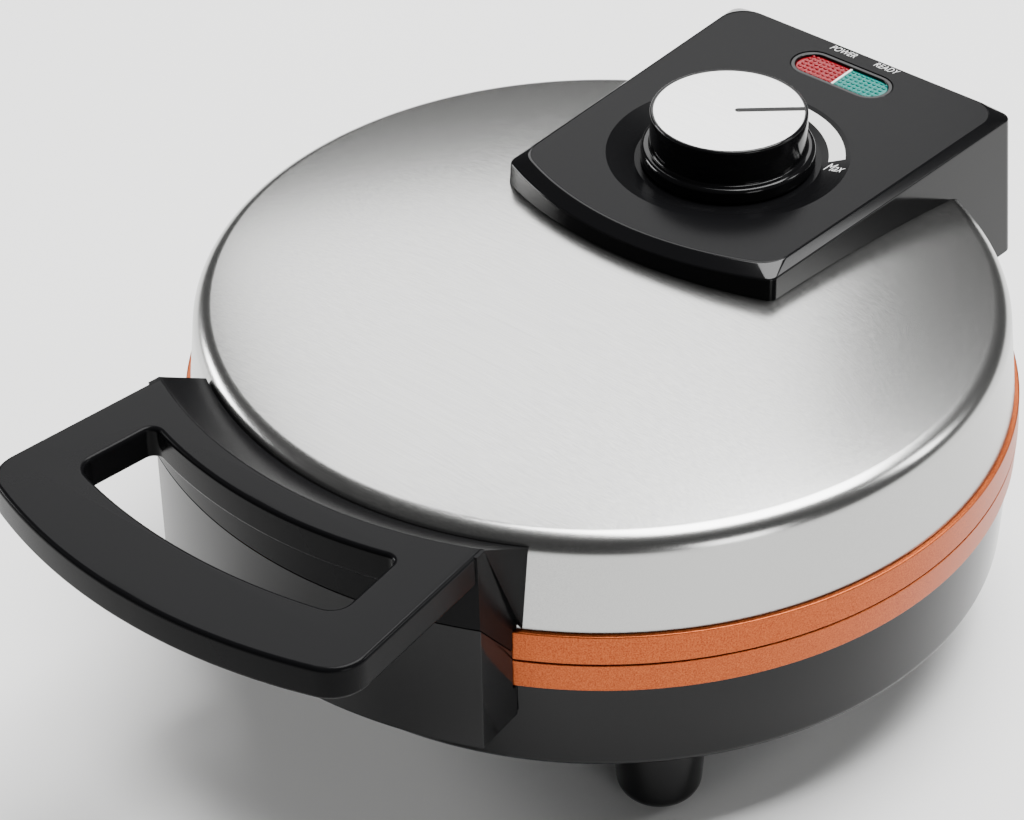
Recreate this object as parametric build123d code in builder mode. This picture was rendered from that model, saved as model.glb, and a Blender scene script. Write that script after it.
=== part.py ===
from build123d import *
import math
import os

# Round waffle maker with a hinged lid. Millimetres, +Z up, handle towards -Y, hinge towards +Y.
# The row origin lies on the table under the middle of the whole length. The round body has its own
# upright axis, body_y further back, and all plan sizes below are counted from that axis.

# Whole object
plate_rim_r = 108.0
handle_overhang = 61.5
housing_overhang = 10.0
handle_reach = plate_rim_r + handle_overhang
housing_reach = plate_rim_r + housing_overhang
body_y = (handle_reach - housing_reach) / 2
seam_z = 60.0
seam_gap = 0.4
slack = 0.1
face_gap = 0.3
running_gap = 0.05
seat_gap = 0.02
wall = 2.5
sheet = 0.8

# Waffle plates
rim_draft = 0.33
plate_edge_r = plate_rim_r - rim_draft
rim_height = 8.16
rim_width = 4.0
flange_thickness = 3.0
flange_width = 19.0
pocket_r = plate_rim_r - flange_width
pocket_depth = 13.8
plate_wall = 2.5
peg_size = 11.0
peg_pitch = 17.0
peg_height = 10.0
peg_taper = 8.0
peg_margin = 7.0
peg_field_r = pocket_r - peg_margin
divider_width = 3.0
divider_height = 11.0
plate_boss_r = 4.0
plate_screw_inset = 10.4
plate_screw_ring_r = plate_rim_r - plate_screw_inset
plate_screw_count = 4
plate_screw_start = 20.0
plate_screw_grip = 4.0

# Heating
element_inset = 29.0
element_ring_r = pocket_r - element_inset
element_tube_r = 4.0
element_drop = 0.3
element_sweep = 300.0
terminal_r = 1.6
terminal_length = 12.0
clip_count = 3
clip_width = 10.0
clip_span = 28.0
clip_thickness = 1.1
clip_boss_r = 3.5
clip_boss_offset = 10.0
clip_screw_r = 1.4
clip_screw_length = 6.0
clip_screw_head_r = 2.8
clip_screw_head_height = 1.6
tray_clearance = 3.5
reflector_r = pocket_r + tray_clearance
reflector_depth = 21.0
tray_inset = 5.5
reflector_flange_r = plate_rim_r - tray_inset

# Base
base_inset = 1.4
base_draft = 1.36
base_floor_width = 43.24
base_top_r = plate_rim_r - base_inset
base_bottom_r = base_top_r - base_draft
base_bottom_z = 24.6
base_edge_round = 3.0
base_opening_r = base_bottom_r - base_floor_width
cover_lap = 8.0
cover_r = base_opening_r + cover_lap
cover_thickness = 1.2
cover_slot_length = 22.0
cover_slot_width = 4.0
cover_slot_ring_r = 36.0
cover_slot_count = 8
cover_screw_ring_r = base_opening_r + cover_lap / 2
cover_screw_count = 3
cover_screw_start = 90.0
cover_boss_height = 2.4
foot_inset = 18.26
foot_angle = 40.944
foot_x = (base_bottom_r - foot_inset) * math.cos(math.radians(foot_angle))
foot_y = (base_bottom_r - foot_inset) * math.sin(math.radians(foot_angle))
foot_top_r = 12.0
foot_bottom_r = 10.5
foot_round = 5.0
foot_bore_depth = 8.0
foot_screw_grip = 7.0
pad_r = 5.5
pad_height = 3.0
pad_proud = 1.0
post_r = 5.0
screw_r = 1.6
screw_head_r = 3.6
small_head_r = 3.0
small_head_height = 1.8
screw_head_height = 2.4
screw_recess = 5.4
screw_tip_gap = 1.0

# Lid
lid_inset = 1.6
lid_draft = 2.5
lid_low_r = plate_rim_r - lid_inset
lid_r = lid_low_r - lid_draft
lid_edge_z = 93.8
lid_top_z = 102.5
lid_edge_round = 6.0
lid_frame_top_z = 86.0
lid_frame_height = 5.0
lid_window_half = 28.0
lid_window_margin = 7.5
lid_window_back = housing_reach - 34.0

# Handle and front apron
handle_top_z = 101.0
handle_thickness = 9.0
crease_overhang = 10.4
crease_half_angle = 26.43
crease_r = plate_rim_r + crease_overhang
crease_x = crease_r * math.sin(math.radians(crease_half_angle))
cove_z = 91.8
handle_splay = 5.3
handle_front_x = crease_x + handle_splay
handle_front_r = 150.0
handle_corner_round = 10.0
slot_rear_inset = 13.3
slot_front_inset = 16.0
slot_rear_land = 8.1
slot_front_land = 20.5
slot_rear_x = crease_x - slot_rear_inset
slot_rear_r = crease_r + slot_rear_land
slot_front_x = handle_front_x - slot_front_inset
slot_front_r = handle_reach - slot_front_land
slot_corner_round = 3.0
handle_edge_round = 1.2
apron_overhang = 12.5
apron_r = plate_rim_r + apron_overhang
apron_lip = 0.5
apron_half_angle = 32.0
hollow_half_angle = 24.5
ear_inset = 15.1
ear_proud = 1.4
apron_bottom_z = 42.0
parting_front_z = 78.7
parting_rear_z = 63.0
apron_screw_angle = 14.0
apron_screw_z = 47.6
apron_head_sink = 0.4
handle_screw_angle = 12.0
handle_screw_z = 79.0
handle_screw_grip = 1.5
head_relief = 0.8

# Hinge
hinge_overhang = 4.0
hinge_y = plate_rim_r + hinge_overhang
hinge_pin_r = 2.0
knuckle_r = 5.0
ear_neck = 5.0
ear_root = 30.0
arm_inner_x = 22.0
arm_outer_x = 30.0
ear_outer_x = 44.0
arm_top_z = 94.0
arm_depth = 6.0
bracket_bottom_z = 43.0
bracket_web_top_z = 50.0
bracket_web_depth = 16.0
pin_head_height = 1.0
pin_head_lip = 1.0
arm_screw_low_z = 76.0
arm_screw_high_z = 88.0

# Control housing
housing_top_z = 109.0
housing_length = 103.5
housing_flare = 2.05
housing_rear_x = 46.25
housing_front_x = 43.2
housing_front_y = housing_reach - housing_length
housing_bow = 10.2
housing_corner_round = 3.0
housing_bevel = 2.0
housing_front_slope = 1.8
housing_rear_z = 65.0
housing_roof = 3.0
panel_inset = 2.3
panel_corner_round = 8.0
panel_thickness = 1.0
recess_r = 32.0
recess_floor_r = 24.5
recess_depth = 2.0
window_y = housing_reach - 16.0
window_length = 31.3
window_width = 13.4
lens_drop = 1.0
lens_height = 4.0
lens_flange = 1.2
housing_boss_r = 4.0
housing_boss_x = 34.0
housing_boss_front_y = housing_front_y + 13.5
housing_boss_rear_y = housing_reach - 33.0
housing_screw_length = 5.5
housing_head_gap = 0.9

# Knob and thermostat
knob_y = housing_reach - 65.9
knob_r = 20.6
knob_face_r = 19.8
knob_top_z = 121.8
knob_face_thickness = 0.8
knob_flange_r = 22.9
knob_flange_height = 4.0
knob_lift = 0.6
knob_edge_round = 0.6
knob_wall = 1.8
knob_hub_r = 6.0
knob_bore_depth = 8.0
pointer_angle = 41.3
pointer_start = 1.5
pointer_margin = 0.6
pointer_width = 0.8
pointer_depth = 0.3
shaft_r = 3.0
scale_outer_r = 30.6
scale_wide = 4.3
scale_narrow = 0.8
scale_start = 33.0
scale_end = 147.0
scale_thickness = 0.2
thermostat_r = 13.0
thermostat_height = 11.0
thermostat_floor = 3.0
strap_half_length = 24.0
strap_width = 12.0
strap_thickness = 1.2

# Rear inlet, terminals and lamps
inlet_z = 34.0
inlet_r = 4.0
inlet_body_r = 6.0
inlet_flange_r = 8.0
inlet_flange_thickness = 2.0
inlet_length = 12.0
block_front_y = 8.0
block_length = 30.0
block_width = 14.0
block_height = 4.5
lamp_r = 2.2
lamp_length = 9.0
holder_floor = 1.5
holder_rib = 2.0
fuse_r = 1.6
fuse_length = 14.0

# Levels worked out from the values above
lower_top_z = seam_z - seam_gap / 2
lower_rim_z = lower_top_z - rim_height
lower_pocket_z = lower_top_z - pocket_depth
lower_skin_z = lower_pocket_z - plate_wall
element_z = lower_skin_z - element_drop - element_tube_r
strap_z = element_z - element_tube_r - slack
tray_flange_z = lower_rim_z - sheet
tray_floor_z = tray_flange_z - reflector_depth
floor_top_z = base_bottom_z + wall
handle_bottom_z = handle_top_z - handle_thickness
recess_z = housing_top_z - recess_depth
panel_z = housing_top_z - panel_thickness
roof_under_z = housing_top_z - housing_roof
lid_lower_z = 2 * seam_z - lower_rim_z + face_gap
frame_z = 2 * seam_z - tray_flange_z
body_axis = Axis((0, body_y, 0), (0, 0, 1))
mirror_plane = Plane.XY.offset(seam_z)


def level(z, x=0.0, y=0.0):
    """Horizontal plane at height z, centred x, y away from the body axis."""
    return Plane((x, body_y + y, z))


def radial(angle, y=0.0):
    """Upright plane through an axis y behind the body axis: its x runs outwards at this angle, its y up."""
    a = math.radians(angle)
    return Plane(
        (0, body_y + y, 0), x_dir=(math.cos(a), math.sin(a), 0), z_dir=(math.sin(a), -math.cos(a), 0)
    )


def outward(angle, r, z):
    """Plane facing straight out from the body axis, at radius r and height z."""
    a = math.radians(angle)
    return Plane(
        (r * math.cos(a), body_y + r * math.sin(a), z),
        x_dir=(-math.sin(a), math.cos(a), 0),
        z_dir=(math.cos(a), math.sin(a), 0),
    )


def ring_spots(count, r, start=0.0):
    """Points on a circle round the body axis, as x, y pairs from that axis."""
    turns = [math.radians(start + 360.0 * i / count) for i in range(count)]
    return [(r * math.cos(t), r * math.sin(t)) for t in turns]


def arc_depth(r, x):
    """How far in front of its centre a circle of radius r lies at x."""
    return math.sqrt(r * r - x * x)


def lid_wall_r(z):
    """Outer radius of the lid's skirt at height z."""
    return lid_r + lid_draft * (lid_edge_z - z) / (lid_edge_z - lid_lower_z)


def save(part, label):
    """Label one finished sub-part and write it as its own file."""
    part.label = label
    export_step(part, "parts/" + label + ".step")


os.makedirs("parts", exist_ok=True)

plate_screw_spots = ring_spots(plate_screw_count, plate_screw_ring_r, plate_screw_start)
cover_screw_spots = ring_spots(cover_screw_count, cover_screw_ring_r, cover_screw_start)
foot_spots = [(x, y) for x in (-foot_x, foot_x) for y in (-foot_y, foot_y)]
boss_spots = [(s * housing_boss_x, y) for s in (-1, 1) for y in (housing_boss_front_y, housing_boss_rear_y)]

# Base shell: drafted round wall with a floor, round lower edge and screw posts
with BuildPart() as base_shell:
    with BuildSketch(radial(0)):
        with BuildLine():
            Polyline(
                (base_opening_r, base_bottom_z),
                (base_bottom_r, base_bottom_z),
                (base_top_r, lower_rim_z - slack),
                (base_top_r - wall, lower_rim_z - slack),
                (base_bottom_r - wall, floor_top_z),
                (base_opening_r, floor_top_z),
                close=True,
            )
        make_face()
    revolve(axis=body_axis)
    with BuildSketch(level(floor_top_z)):
        with Locations(*plate_screw_spots):
            Circle(post_r)
    extrude(amount=tray_flange_z - floor_top_z)
    with BuildSketch(level(floor_top_z)):
        with Locations(*cover_screw_spots):
            Circle(plate_boss_r)
    extrude(amount=cover_boss_height)
    with BuildSketch(level(base_bottom_z)):
        with Locations(*plate_screw_spots):
            Circle(screw_r + slack)
    extrude(amount=tray_flange_z - base_bottom_z, mode=Mode.SUBTRACT)
    with BuildSketch(level(base_bottom_z)):
        with Locations(*plate_screw_spots):
            Circle(screw_head_r + slack)
    extrude(amount=screw_recess, mode=Mode.SUBTRACT)
    with BuildSketch(level(base_bottom_z)):
        with Locations(*cover_screw_spots):
            Circle(screw_r + seat_gap)
    extrude(amount=wall + cover_boss_height, mode=Mode.SUBTRACT)
    with BuildSketch(level(base_bottom_z)):
        with Locations(*foot_spots):
            Circle(screw_r + slack)
    extrude(amount=wall, mode=Mode.SUBTRACT)
    with BuildSketch(outward(90, base_bottom_r - 2 * wall, inlet_z)):
        Circle(inlet_body_r + slack)
    extrude(amount=4 * wall, mode=Mode.SUBTRACT)
    for side in (-1, 1):
        with BuildSketch(outward(-90 + side * apron_screw_angle, base_bottom_r - 2 * wall, apron_screw_z)):
            Circle(screw_r + slack)
        extrude(amount=4 * wall, mode=Mode.SUBTRACT)
    bottom_edges = base_shell.edges().filter_by(GeomType.CIRCLE).filter_by(
        lambda e: abs(e.radius - base_bottom_r) < 0.01
    )
    fillet(bottom_edges, radius=base_edge_round)
save(base_shell.part, "base_shell")

# Bottom cover: round sheet under the floor opening, with cooling slots
with BuildPart() as bottom_cover:
    with BuildSketch(level(base_bottom_z - cover_thickness)):
        Circle(cover_r)
        with Locations(*cover_screw_spots):
            Circle(screw_r + slack, mode=Mode.SUBTRACT)
        with PolarLocations(cover_slot_ring_r, cover_slot_count):
            SlotOverall(cover_slot_length, cover_slot_width, mode=Mode.SUBTRACT)
    extrude(amount=cover_thickness)
save(bottom_cover.part, "bottom_cover")

# Cover screws: pan heads under the cover
with BuildPart() as cover_screws:
    with BuildSketch(level(base_bottom_z - cover_thickness - screw_head_height)):
        with Locations(*cover_screw_spots):
            Circle(screw_head_r)
    extrude(amount=screw_head_height)
    with BuildSketch(level(base_bottom_z - cover_thickness)):
        with Locations(*cover_screw_spots):
            Circle(screw_r)
    extrude(amount=cover_thickness + wall + cover_boss_height - face_gap)
save(cover_screws.part, "cover_screws")

# Feet: four tapered posts with rounded lower edges and a pocket for the pad
with BuildPart() as feet:
    for spot in foot_spots:
        with BuildSketch(level(pad_proud, *spot)):
            Circle(foot_bottom_r)
        with BuildSketch(level(base_bottom_z, *spot)):
            Circle(foot_top_r)
        loft()
    low_rims = feet.edges().filter_by(GeomType.CIRCLE).group_by(Axis.Z)[0]
    fillet(low_rims, radius=foot_round - pad_proud)
    with BuildSketch(level(pad_proud)):
        with Locations(*foot_spots):
            Circle(pad_r)
    extrude(amount=pad_height - pad_proud, mode=Mode.SUBTRACT)
    with BuildSketch(level(base_bottom_z)):
        with Locations(*foot_spots):
            Circle(screw_r + seat_gap)
    extrude(amount=-foot_bore_depth, mode=Mode.SUBTRACT)
save(feet.part, "feet")

# Foot pads: soft discs in the feet
with BuildPart() as foot_pads:
    with BuildSketch(level(0)):
        with Locations(*foot_spots):
            Circle(pad_r - seat_gap)
    extrude(amount=pad_height)
save(foot_pads.part, "foot_pads")

# Foot screws: from inside the floor down into the feet
with BuildPart() as foot_screws:
    with BuildSketch(level(floor_top_z)):
        with Locations(*foot_spots):
            Circle(screw_head_r)
    extrude(amount=screw_head_height)
    with BuildSketch(level(floor_top_z)):
        with Locations(*foot_spots):
            Circle(screw_r)
    extrude(amount=-(wall + foot_screw_grip))
save(foot_screws.part, "foot_screws")

# Waffle plate, lower: rim band, pocket with square pegs and cross dividers, screw and clip bosses
clip_spots = [
    (r * math.cos(t), r * math.sin(t))
    for t in [math.radians(30 + 360.0 * i / clip_count) for i in range(clip_count)]
    for r in (element_ring_r - clip_boss_offset, element_ring_r + clip_boss_offset)
]
peg_rows = int(peg_field_r / peg_pitch)
peg_offsets = [peg_pitch * (i + 0.5) * s for i in range(peg_rows + 1) for s in (-1, 1)]
peg_spots = [
    (x, y) for x in peg_offsets for y in peg_offsets
    if math.hypot(abs(x) + peg_size / 2, abs(y) + peg_size / 2) < peg_field_r + peg_size / 4
]
with BuildPart() as lower_plate:
    with BuildSketch(radial(0)):
        with BuildLine():
            Polyline(
                (0, lower_pocket_z),
                (pocket_r, lower_pocket_z),
                (pocket_r, lower_top_z),
                (plate_rim_r, lower_top_z),
                (plate_edge_r, lower_rim_z),
                (plate_rim_r - rim_width, lower_rim_z),
                (plate_rim_r - rim_width, lower_top_z - flange_thickness),
                (pocket_r + plate_wall, lower_top_z - flange_thickness),
                (pocket_r + plate_wall, lower_skin_z),
                (0, lower_skin_z),
                close=True,
            )
        make_face()
    revolve(axis=body_axis)
    with BuildSketch(level(lower_pocket_z)):
        with Locations(*peg_spots):
            Rectangle(peg_size, peg_size)
    extrude(amount=peg_height, taper=peg_taper)
    with BuildSketch(level(lower_pocket_z)):
        Rectangle(2 * pocket_r, divider_width)
        Rectangle(divider_width, 2 * pocket_r)
    extrude(amount=divider_height)
    with BuildSketch(level(lower_rim_z)):
        with Locations(*plate_screw_spots):
            Circle(plate_boss_r)
    extrude(amount=rim_height - flange_thickness)
    with BuildSketch(level(lower_rim_z)):
        with Locations(*plate_screw_spots):
            Circle(screw_r + seat_gap)
    extrude(amount=rim_height - flange_thickness, mode=Mode.SUBTRACT)
    with BuildSketch(level(lower_skin_z)):
        with Locations(*clip_spots):
            Circle(clip_boss_r)
    extrude(amount=strap_z - lower_skin_z)
    with BuildSketch(level(strap_z)):
        with Locations(*clip_spots):
            Circle(clip_screw_r + seat_gap)
    extrude(amount=clip_screw_length, mode=Mode.SUBTRACT)
save(lower_plate.part, "lower_plate")

# Plate screws, lower: from below through the posts into the plate bosses
with BuildPart() as lower_plate_screws:
    with BuildSketch(level(base_bottom_z + screw_recess - screw_head_height)):
        with Locations(*plate_screw_spots):
            Circle(screw_head_r)
    extrude(amount=screw_head_height)
    with BuildSketch(level(base_bottom_z + screw_recess)):
        with Locations(*plate_screw_spots):
            Circle(screw_r)
    extrude(amount=lower_rim_z + plate_screw_grip - base_bottom_z - screw_recess)
save(lower_plate_screws.part, "lower_plate_screws")

# Heating element, lower: open ring of tube under the plate, with a terminal at each end
with BuildPart() as lower_element:
    with BuildSketch(radial(270 - element_sweep / 2)):
        with Locations((element_ring_r, element_z)):
            Circle(element_tube_r)
    revolve(axis=body_axis, revolution_arc=element_sweep)
    for end, way in ((270 - element_sweep / 2, 1), (270 + element_sweep / 2, -1)):
        with BuildSketch(radial(end)):
            with Locations((element_ring_r, element_z)):
                Circle(terminal_r)
        extrude(amount=way * terminal_length)
save(lower_element.part, "lower_element")

# Element straps, lower: flat bars that hold the element up to the plate
with BuildPart() as lower_element_straps:
    for i in range(clip_count):
        with BuildSketch(radial(30 + 360.0 * i / clip_count)):
            with Locations((element_ring_r, strap_z - clip_thickness / 2)):
                Rectangle(clip_span, clip_thickness)
        extrude(amount=clip_width / 2, both=True)
    with BuildSketch(level(strap_z - clip_thickness)):
        with Locations(*clip_spots):
            Circle(clip_screw_r + slack)
    extrude(amount=clip_thickness, mode=Mode.SUBTRACT)
save(lower_element_straps.part, "lower_element_straps")

# Strap screws, lower
with BuildPart() as lower_strap_screws:
    with BuildSketch(level(strap_z - clip_thickness - clip_screw_head_height)):
        with Locations(*clip_spots):
            Circle(clip_screw_head_r)
    extrude(amount=clip_screw_head_height)
    with BuildSketch(level(strap_z - clip_thickness)):
        with Locations(*clip_spots):
            Circle(clip_screw_r)
    extrude(amount=clip_thickness + clip_screw_length - screw_tip_gap)
save(lower_strap_screws.part, "lower_strap_screws")

# Reflector tray, lower: thin dish between plate flange and posts
with BuildPart() as lower_reflector:
    with BuildSketch(radial(0)):
        with BuildLine():
            Polyline(
                (0, tray_floor_z),
                (reflector_r, tray_floor_z),
                (reflector_r, tray_flange_z),
                (reflector_flange_r, tray_flange_z),
                (reflector_flange_r, lower_rim_z),
                (reflector_r - sheet, lower_rim_z),
                (reflector_r - sheet, tray_floor_z + sheet),
                (0, tray_floor_z + sheet),
                close=True,
            )
        make_face()
    revolve(axis=body_axis)
    with BuildSketch(level(tray_flange_z)):
        with Locations(*plate_screw_spots):
            Circle(screw_r + slack)
    extrude(amount=sheet, mode=Mode.SUBTRACT)
save(lower_reflector.part, "lower_reflector")

# Upper plate group: the lower pieces turned over about the seam
lid_pieces = (
    (lower_plate, "upper_plate"),
    (lower_element, "upper_element"),
    (lower_element_straps, "upper_element_straps"),
    (lower_strap_screws, "upper_strap_screws"),
    (lower_reflector, "upper_reflector"),
)
for source, label in lid_pieces:
    with BuildPart() as turned_piece:
        add(mirror(source.part, about=mirror_plane, mode=Mode.PRIVATE))
    save(turned_piece.part, label)

# Lid frame: ring on the upper tray flange that carries the lid shell
frame_low_r = lid_wall_r(frame_z) - sheet - slack
frame_high_r = lid_wall_r(lid_frame_top_z) - sheet - slack
handle_seat_r = lid_wall_r(handle_screw_z)
with BuildPart() as lid_frame:
    with BuildSketch(radial(0)):
        with BuildLine():
            Polyline(
                (reflector_r + slack, frame_z),
                (frame_low_r, frame_z),
                (frame_high_r, lid_frame_top_z),
                (frame_high_r - wall, lid_frame_top_z),
                (frame_low_r - wall, frame_z + lid_frame_height),
                (reflector_r + slack, frame_z + lid_frame_height),
                close=True,
            )
        make_face()
    revolve(axis=body_axis)
    with BuildSketch(level(frame_z)):
        with Locations(*plate_screw_spots):
            Circle(screw_r + slack)
    extrude(amount=lid_frame_height, mode=Mode.SUBTRACT)
    for side in (-1, 1):
        with BuildSketch(outward(-90 + side * handle_screw_angle, handle_seat_r - 3 * wall, handle_screw_z)):
            Circle(screw_r + slack)
        extrude(amount=3 * wall, mode=Mode.SUBTRACT)
save(lid_frame.part, "lid_frame")

# Plate screws, upper: from inside the lid down into the plate bosses
with BuildPart() as upper_plate_screws:
    with BuildSketch(level(frame_z + lid_frame_height)):
        with Locations(*plate_screw_spots):
            Circle(small_head_r)
    extrude(amount=screw_head_height)
    with BuildSketch(level(frame_z + lid_frame_height)):
        with Locations(*plate_screw_spots):
            Circle(screw_r)
    extrude(amount=-(lid_frame_height + sheet + plate_screw_grip))
save(upper_plate_screws.part, "upper_plate_screws")

# Lid solid outline: drafted skirt, round edge and shallow dome
dome_rise = lid_top_z - lid_edge_z
dome_r = (lid_r ** 2 + dome_rise ** 2) / (2 * dome_rise)


def lid_body(grow):
    """Solid of the lid's outer form, grown by this much, as a part of its own."""
    dome_z = lid_top_z - dome_r + math.sqrt((dome_r + grow) ** 2 - (lid_r + grow) ** 2)
    corner = (lid_r + grow, dome_z)
    with BuildPart() as body:
        with BuildSketch(radial(0)) as outline:
            with BuildLine():
                Line((0, lid_lower_z), (lid_low_r + grow, lid_lower_z))
                Line((lid_low_r + grow, lid_lower_z), corner)
                RadiusArc(corner, (0, lid_top_z + grow), -dome_r - grow)
                Line((0, lid_top_z + grow), (0, lid_lower_z))
            make_face()
            edge_corner = outline.vertices().sort_by_distance((corner[0], corner[1], 0))[0]
            fillet(edge_corner, radius=lid_edge_round + grow)
        revolve(axis=body_axis)
    return body.part


# Lid shell: thin drawn steel with a window under the control housing
lid_window_front = housing_front_y + lid_window_margin
with BuildPart() as lid_shell:
    add(lid_body(0))
    add(lid_body(-sheet), mode=Mode.SUBTRACT)
    with BuildSketch(level(lid_frame_top_z)):
        with Locations((0, (lid_window_front + lid_window_back) / 2)):
            Rectangle(2 * lid_window_half, lid_window_back - lid_window_front)
    extrude(amount=lid_top_z - lid_frame_top_z, mode=Mode.SUBTRACT)
    with BuildSketch(level(lid_frame_top_z)):
        with Locations(*boss_spots):
            Circle(screw_r + slack)
    extrude(amount=lid_top_z - lid_frame_top_z, mode=Mode.SUBTRACT)
    for side in (-1, 1):
        with BuildSketch(outward(-90 + side * handle_screw_angle, handle_seat_r - 2 * wall, handle_screw_z)):
            Circle(screw_r + slack)
        extrude(amount=3 * wall, mode=Mode.SUBTRACT)
save(lid_shell.part, "lid_shell")

# Handle: loop plate, cove down to the lid, ears round the skirt and the upper apron
front_centre_y = handle_reach - handle_front_r
handle_front_y = front_centre_y + arc_depth(handle_front_r, handle_front_x)
slot_front_y = arc_depth(slot_front_r, slot_front_x)
slot_rear_y = arc_depth(slot_rear_r, slot_rear_x)
crease_y = arc_depth(crease_r, crease_x)
handle_low_r = lid_low_r + face_gap
rim_clear_r = plate_rim_r + face_gap
side_slope = handle_splay / (handle_front_y - crease_y)
ear_y = plate_rim_r - ear_inset
ear_x = crease_x - side_slope * (crease_y - ear_y) + ear_proud
near_y = ear_y - 2 * wall
far_y = handle_reach
near_x = crease_x - side_slope * (crease_y - near_y)
far_x = crease_x + side_slope * (far_y - crease_y)
ear_near_x = ear_x - (crease_x - ear_x) * (ear_y - near_y) / (crease_y - ear_y)


def between_sides(rear_x):
    """Tall solid between the two side faces of handle and apron; rear_x is the half width at its back."""
    with BuildPart() as block:
        with BuildSketch(level(apron_bottom_z)):
            with BuildLine():
                Polyline(
                    (-far_x, -far_y), (far_x, -far_y), (crease_x, -crease_y), (rear_x, -near_y),
                    (-rear_x, -near_y), (-crease_x, -crease_y), close=True
                )
            make_face()
        extrude(amount=handle_top_z - apron_bottom_z)
    return block.part


# Space beside the fins: below the line that falls from the handle's corner to the ear's foot
with BuildPart() as fin_cut:
    with BuildSketch(Plane((0, body_y, 0), x_dir=(0, 1, 0), z_dir=(1, 0, 0))):
        with BuildLine():
            Polyline(
                (-crease_y, handle_top_z), (-ear_y, lid_lower_z), (-ear_y, apron_bottom_z),
                (-far_y, apron_bottom_z), (-far_y, handle_top_z), close=True
            )
        make_face()
    extrude(amount=2 * handle_front_x, both=True)
    add(between_sides(near_x), mode=Mode.SUBTRACT)

with BuildPart() as upper_apron:
    with BuildSketch(radial(-90 - apron_half_angle)):
        with BuildLine():
            Polyline(
                (lid_wall_r(cove_z) + face_gap, cove_z),
                (crease_r, handle_top_z),
                (apron_r + apron_lip, handle_top_z),
                (apron_r, parting_front_z),
                (rim_clear_r, parting_rear_z),
                (rim_clear_r, lid_lower_z),
                (handle_low_r, lid_lower_z),
                close=True,
            )
        make_face()
    revolve(axis=body_axis, revolution_arc=2 * apron_half_angle)
    add(between_sides(ear_near_x), mode=Mode.INTERSECT)
    add(fin_cut.part, mode=Mode.SUBTRACT)

with BuildPart() as handle:
    with BuildSketch(level(handle_bottom_z)) as loop_sketch:
        with BuildLine():
            h1 = ThreePointArc(
                (-handle_front_x, -handle_front_y), (0, -handle_reach), (handle_front_x, -handle_front_y)
            )
            h2 = Line(h1 @ 1, (crease_x, -crease_y))
            h3 = ThreePointArc(h2 @ 1, (0, -crease_r), (-crease_x, -crease_y))
            Line(h3 @ 1, h1 @ 0)
        make_face()
        fillet(loop_sketch.vertices().group_by(Axis.Y)[0], radius=handle_corner_round)
    extrude(amount=handle_thickness)
    with BuildSketch(level(handle_bottom_z)) as slot_sketch:
        with BuildLine():
            s1 = ThreePointArc(
                (-slot_front_x, -slot_front_y), (0, -slot_front_r), (slot_front_x, -slot_front_y)
            )
            s2 = Line(s1 @ 1, (slot_rear_x, -slot_rear_y))
            s3 = ThreePointArc(s2 @ 1, (0, -slot_rear_r), (-slot_rear_x, -slot_rear_y))
            Line(s3 @ 1, s1 @ 0)
        make_face()
        fillet(slot_sketch.vertices(), radius=slot_corner_round)
    extrude(amount=handle_thickness, mode=Mode.SUBTRACT)
    loop_edges = handle.edges().group_by(Axis.Z)[-1].filter_by(
        lambda e: e.center().Y < body_y - crease_r - 2 * handle_edge_round
    )
    fillet(loop_edges, radius=handle_edge_round)
    add(upper_apron.part)
    with BuildSketch(radial(-90 - hollow_half_angle)):
        with BuildLine():
            Polyline(
                (handle_low_r + wall, cove_z - wall / 2),
                (apron_r - wall, handle_bottom_z + wall),
                (apron_r - wall, parting_front_z - 2 * wall),
                (rim_clear_r + wall, parting_rear_z - wall),
                (rim_clear_r + wall, lid_lower_z + wall),
                (handle_low_r + wall, lid_lower_z + wall),
                close=True,
            )
        make_face()
    revolve(axis=body_axis, revolution_arc=2 * hollow_half_angle, mode=Mode.SUBTRACT)
    for side in (-1, 1):
        with BuildSketch(outward(-90 + side * handle_screw_angle, handle_seat_r, handle_screw_z)):
            Circle(screw_r + seat_gap)
        extrude(amount=2 * wall, mode=Mode.SUBTRACT)
save(handle.part, "handle")

# Handle screws: from inside the lid frame out into the handle
with BuildPart() as handle_screws:
    for side in (-1, 1):
        frame_face_r = handle_seat_r - sheet - slack - wall
        with BuildSketch(outward(-90 + side * handle_screw_angle, frame_face_r - screw_head_height, handle_screw_z)):
            Circle(screw_head_r)
        extrude(amount=screw_head_height - head_relief)
        with BuildSketch(outward(-90 + side * handle_screw_angle, frame_face_r - screw_head_height, handle_screw_z)):
            Circle(screw_r)
        extrude(amount=screw_head_height + 2 * wall + handle_screw_grip)
save(handle_screws.part, "handle_screws")

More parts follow.
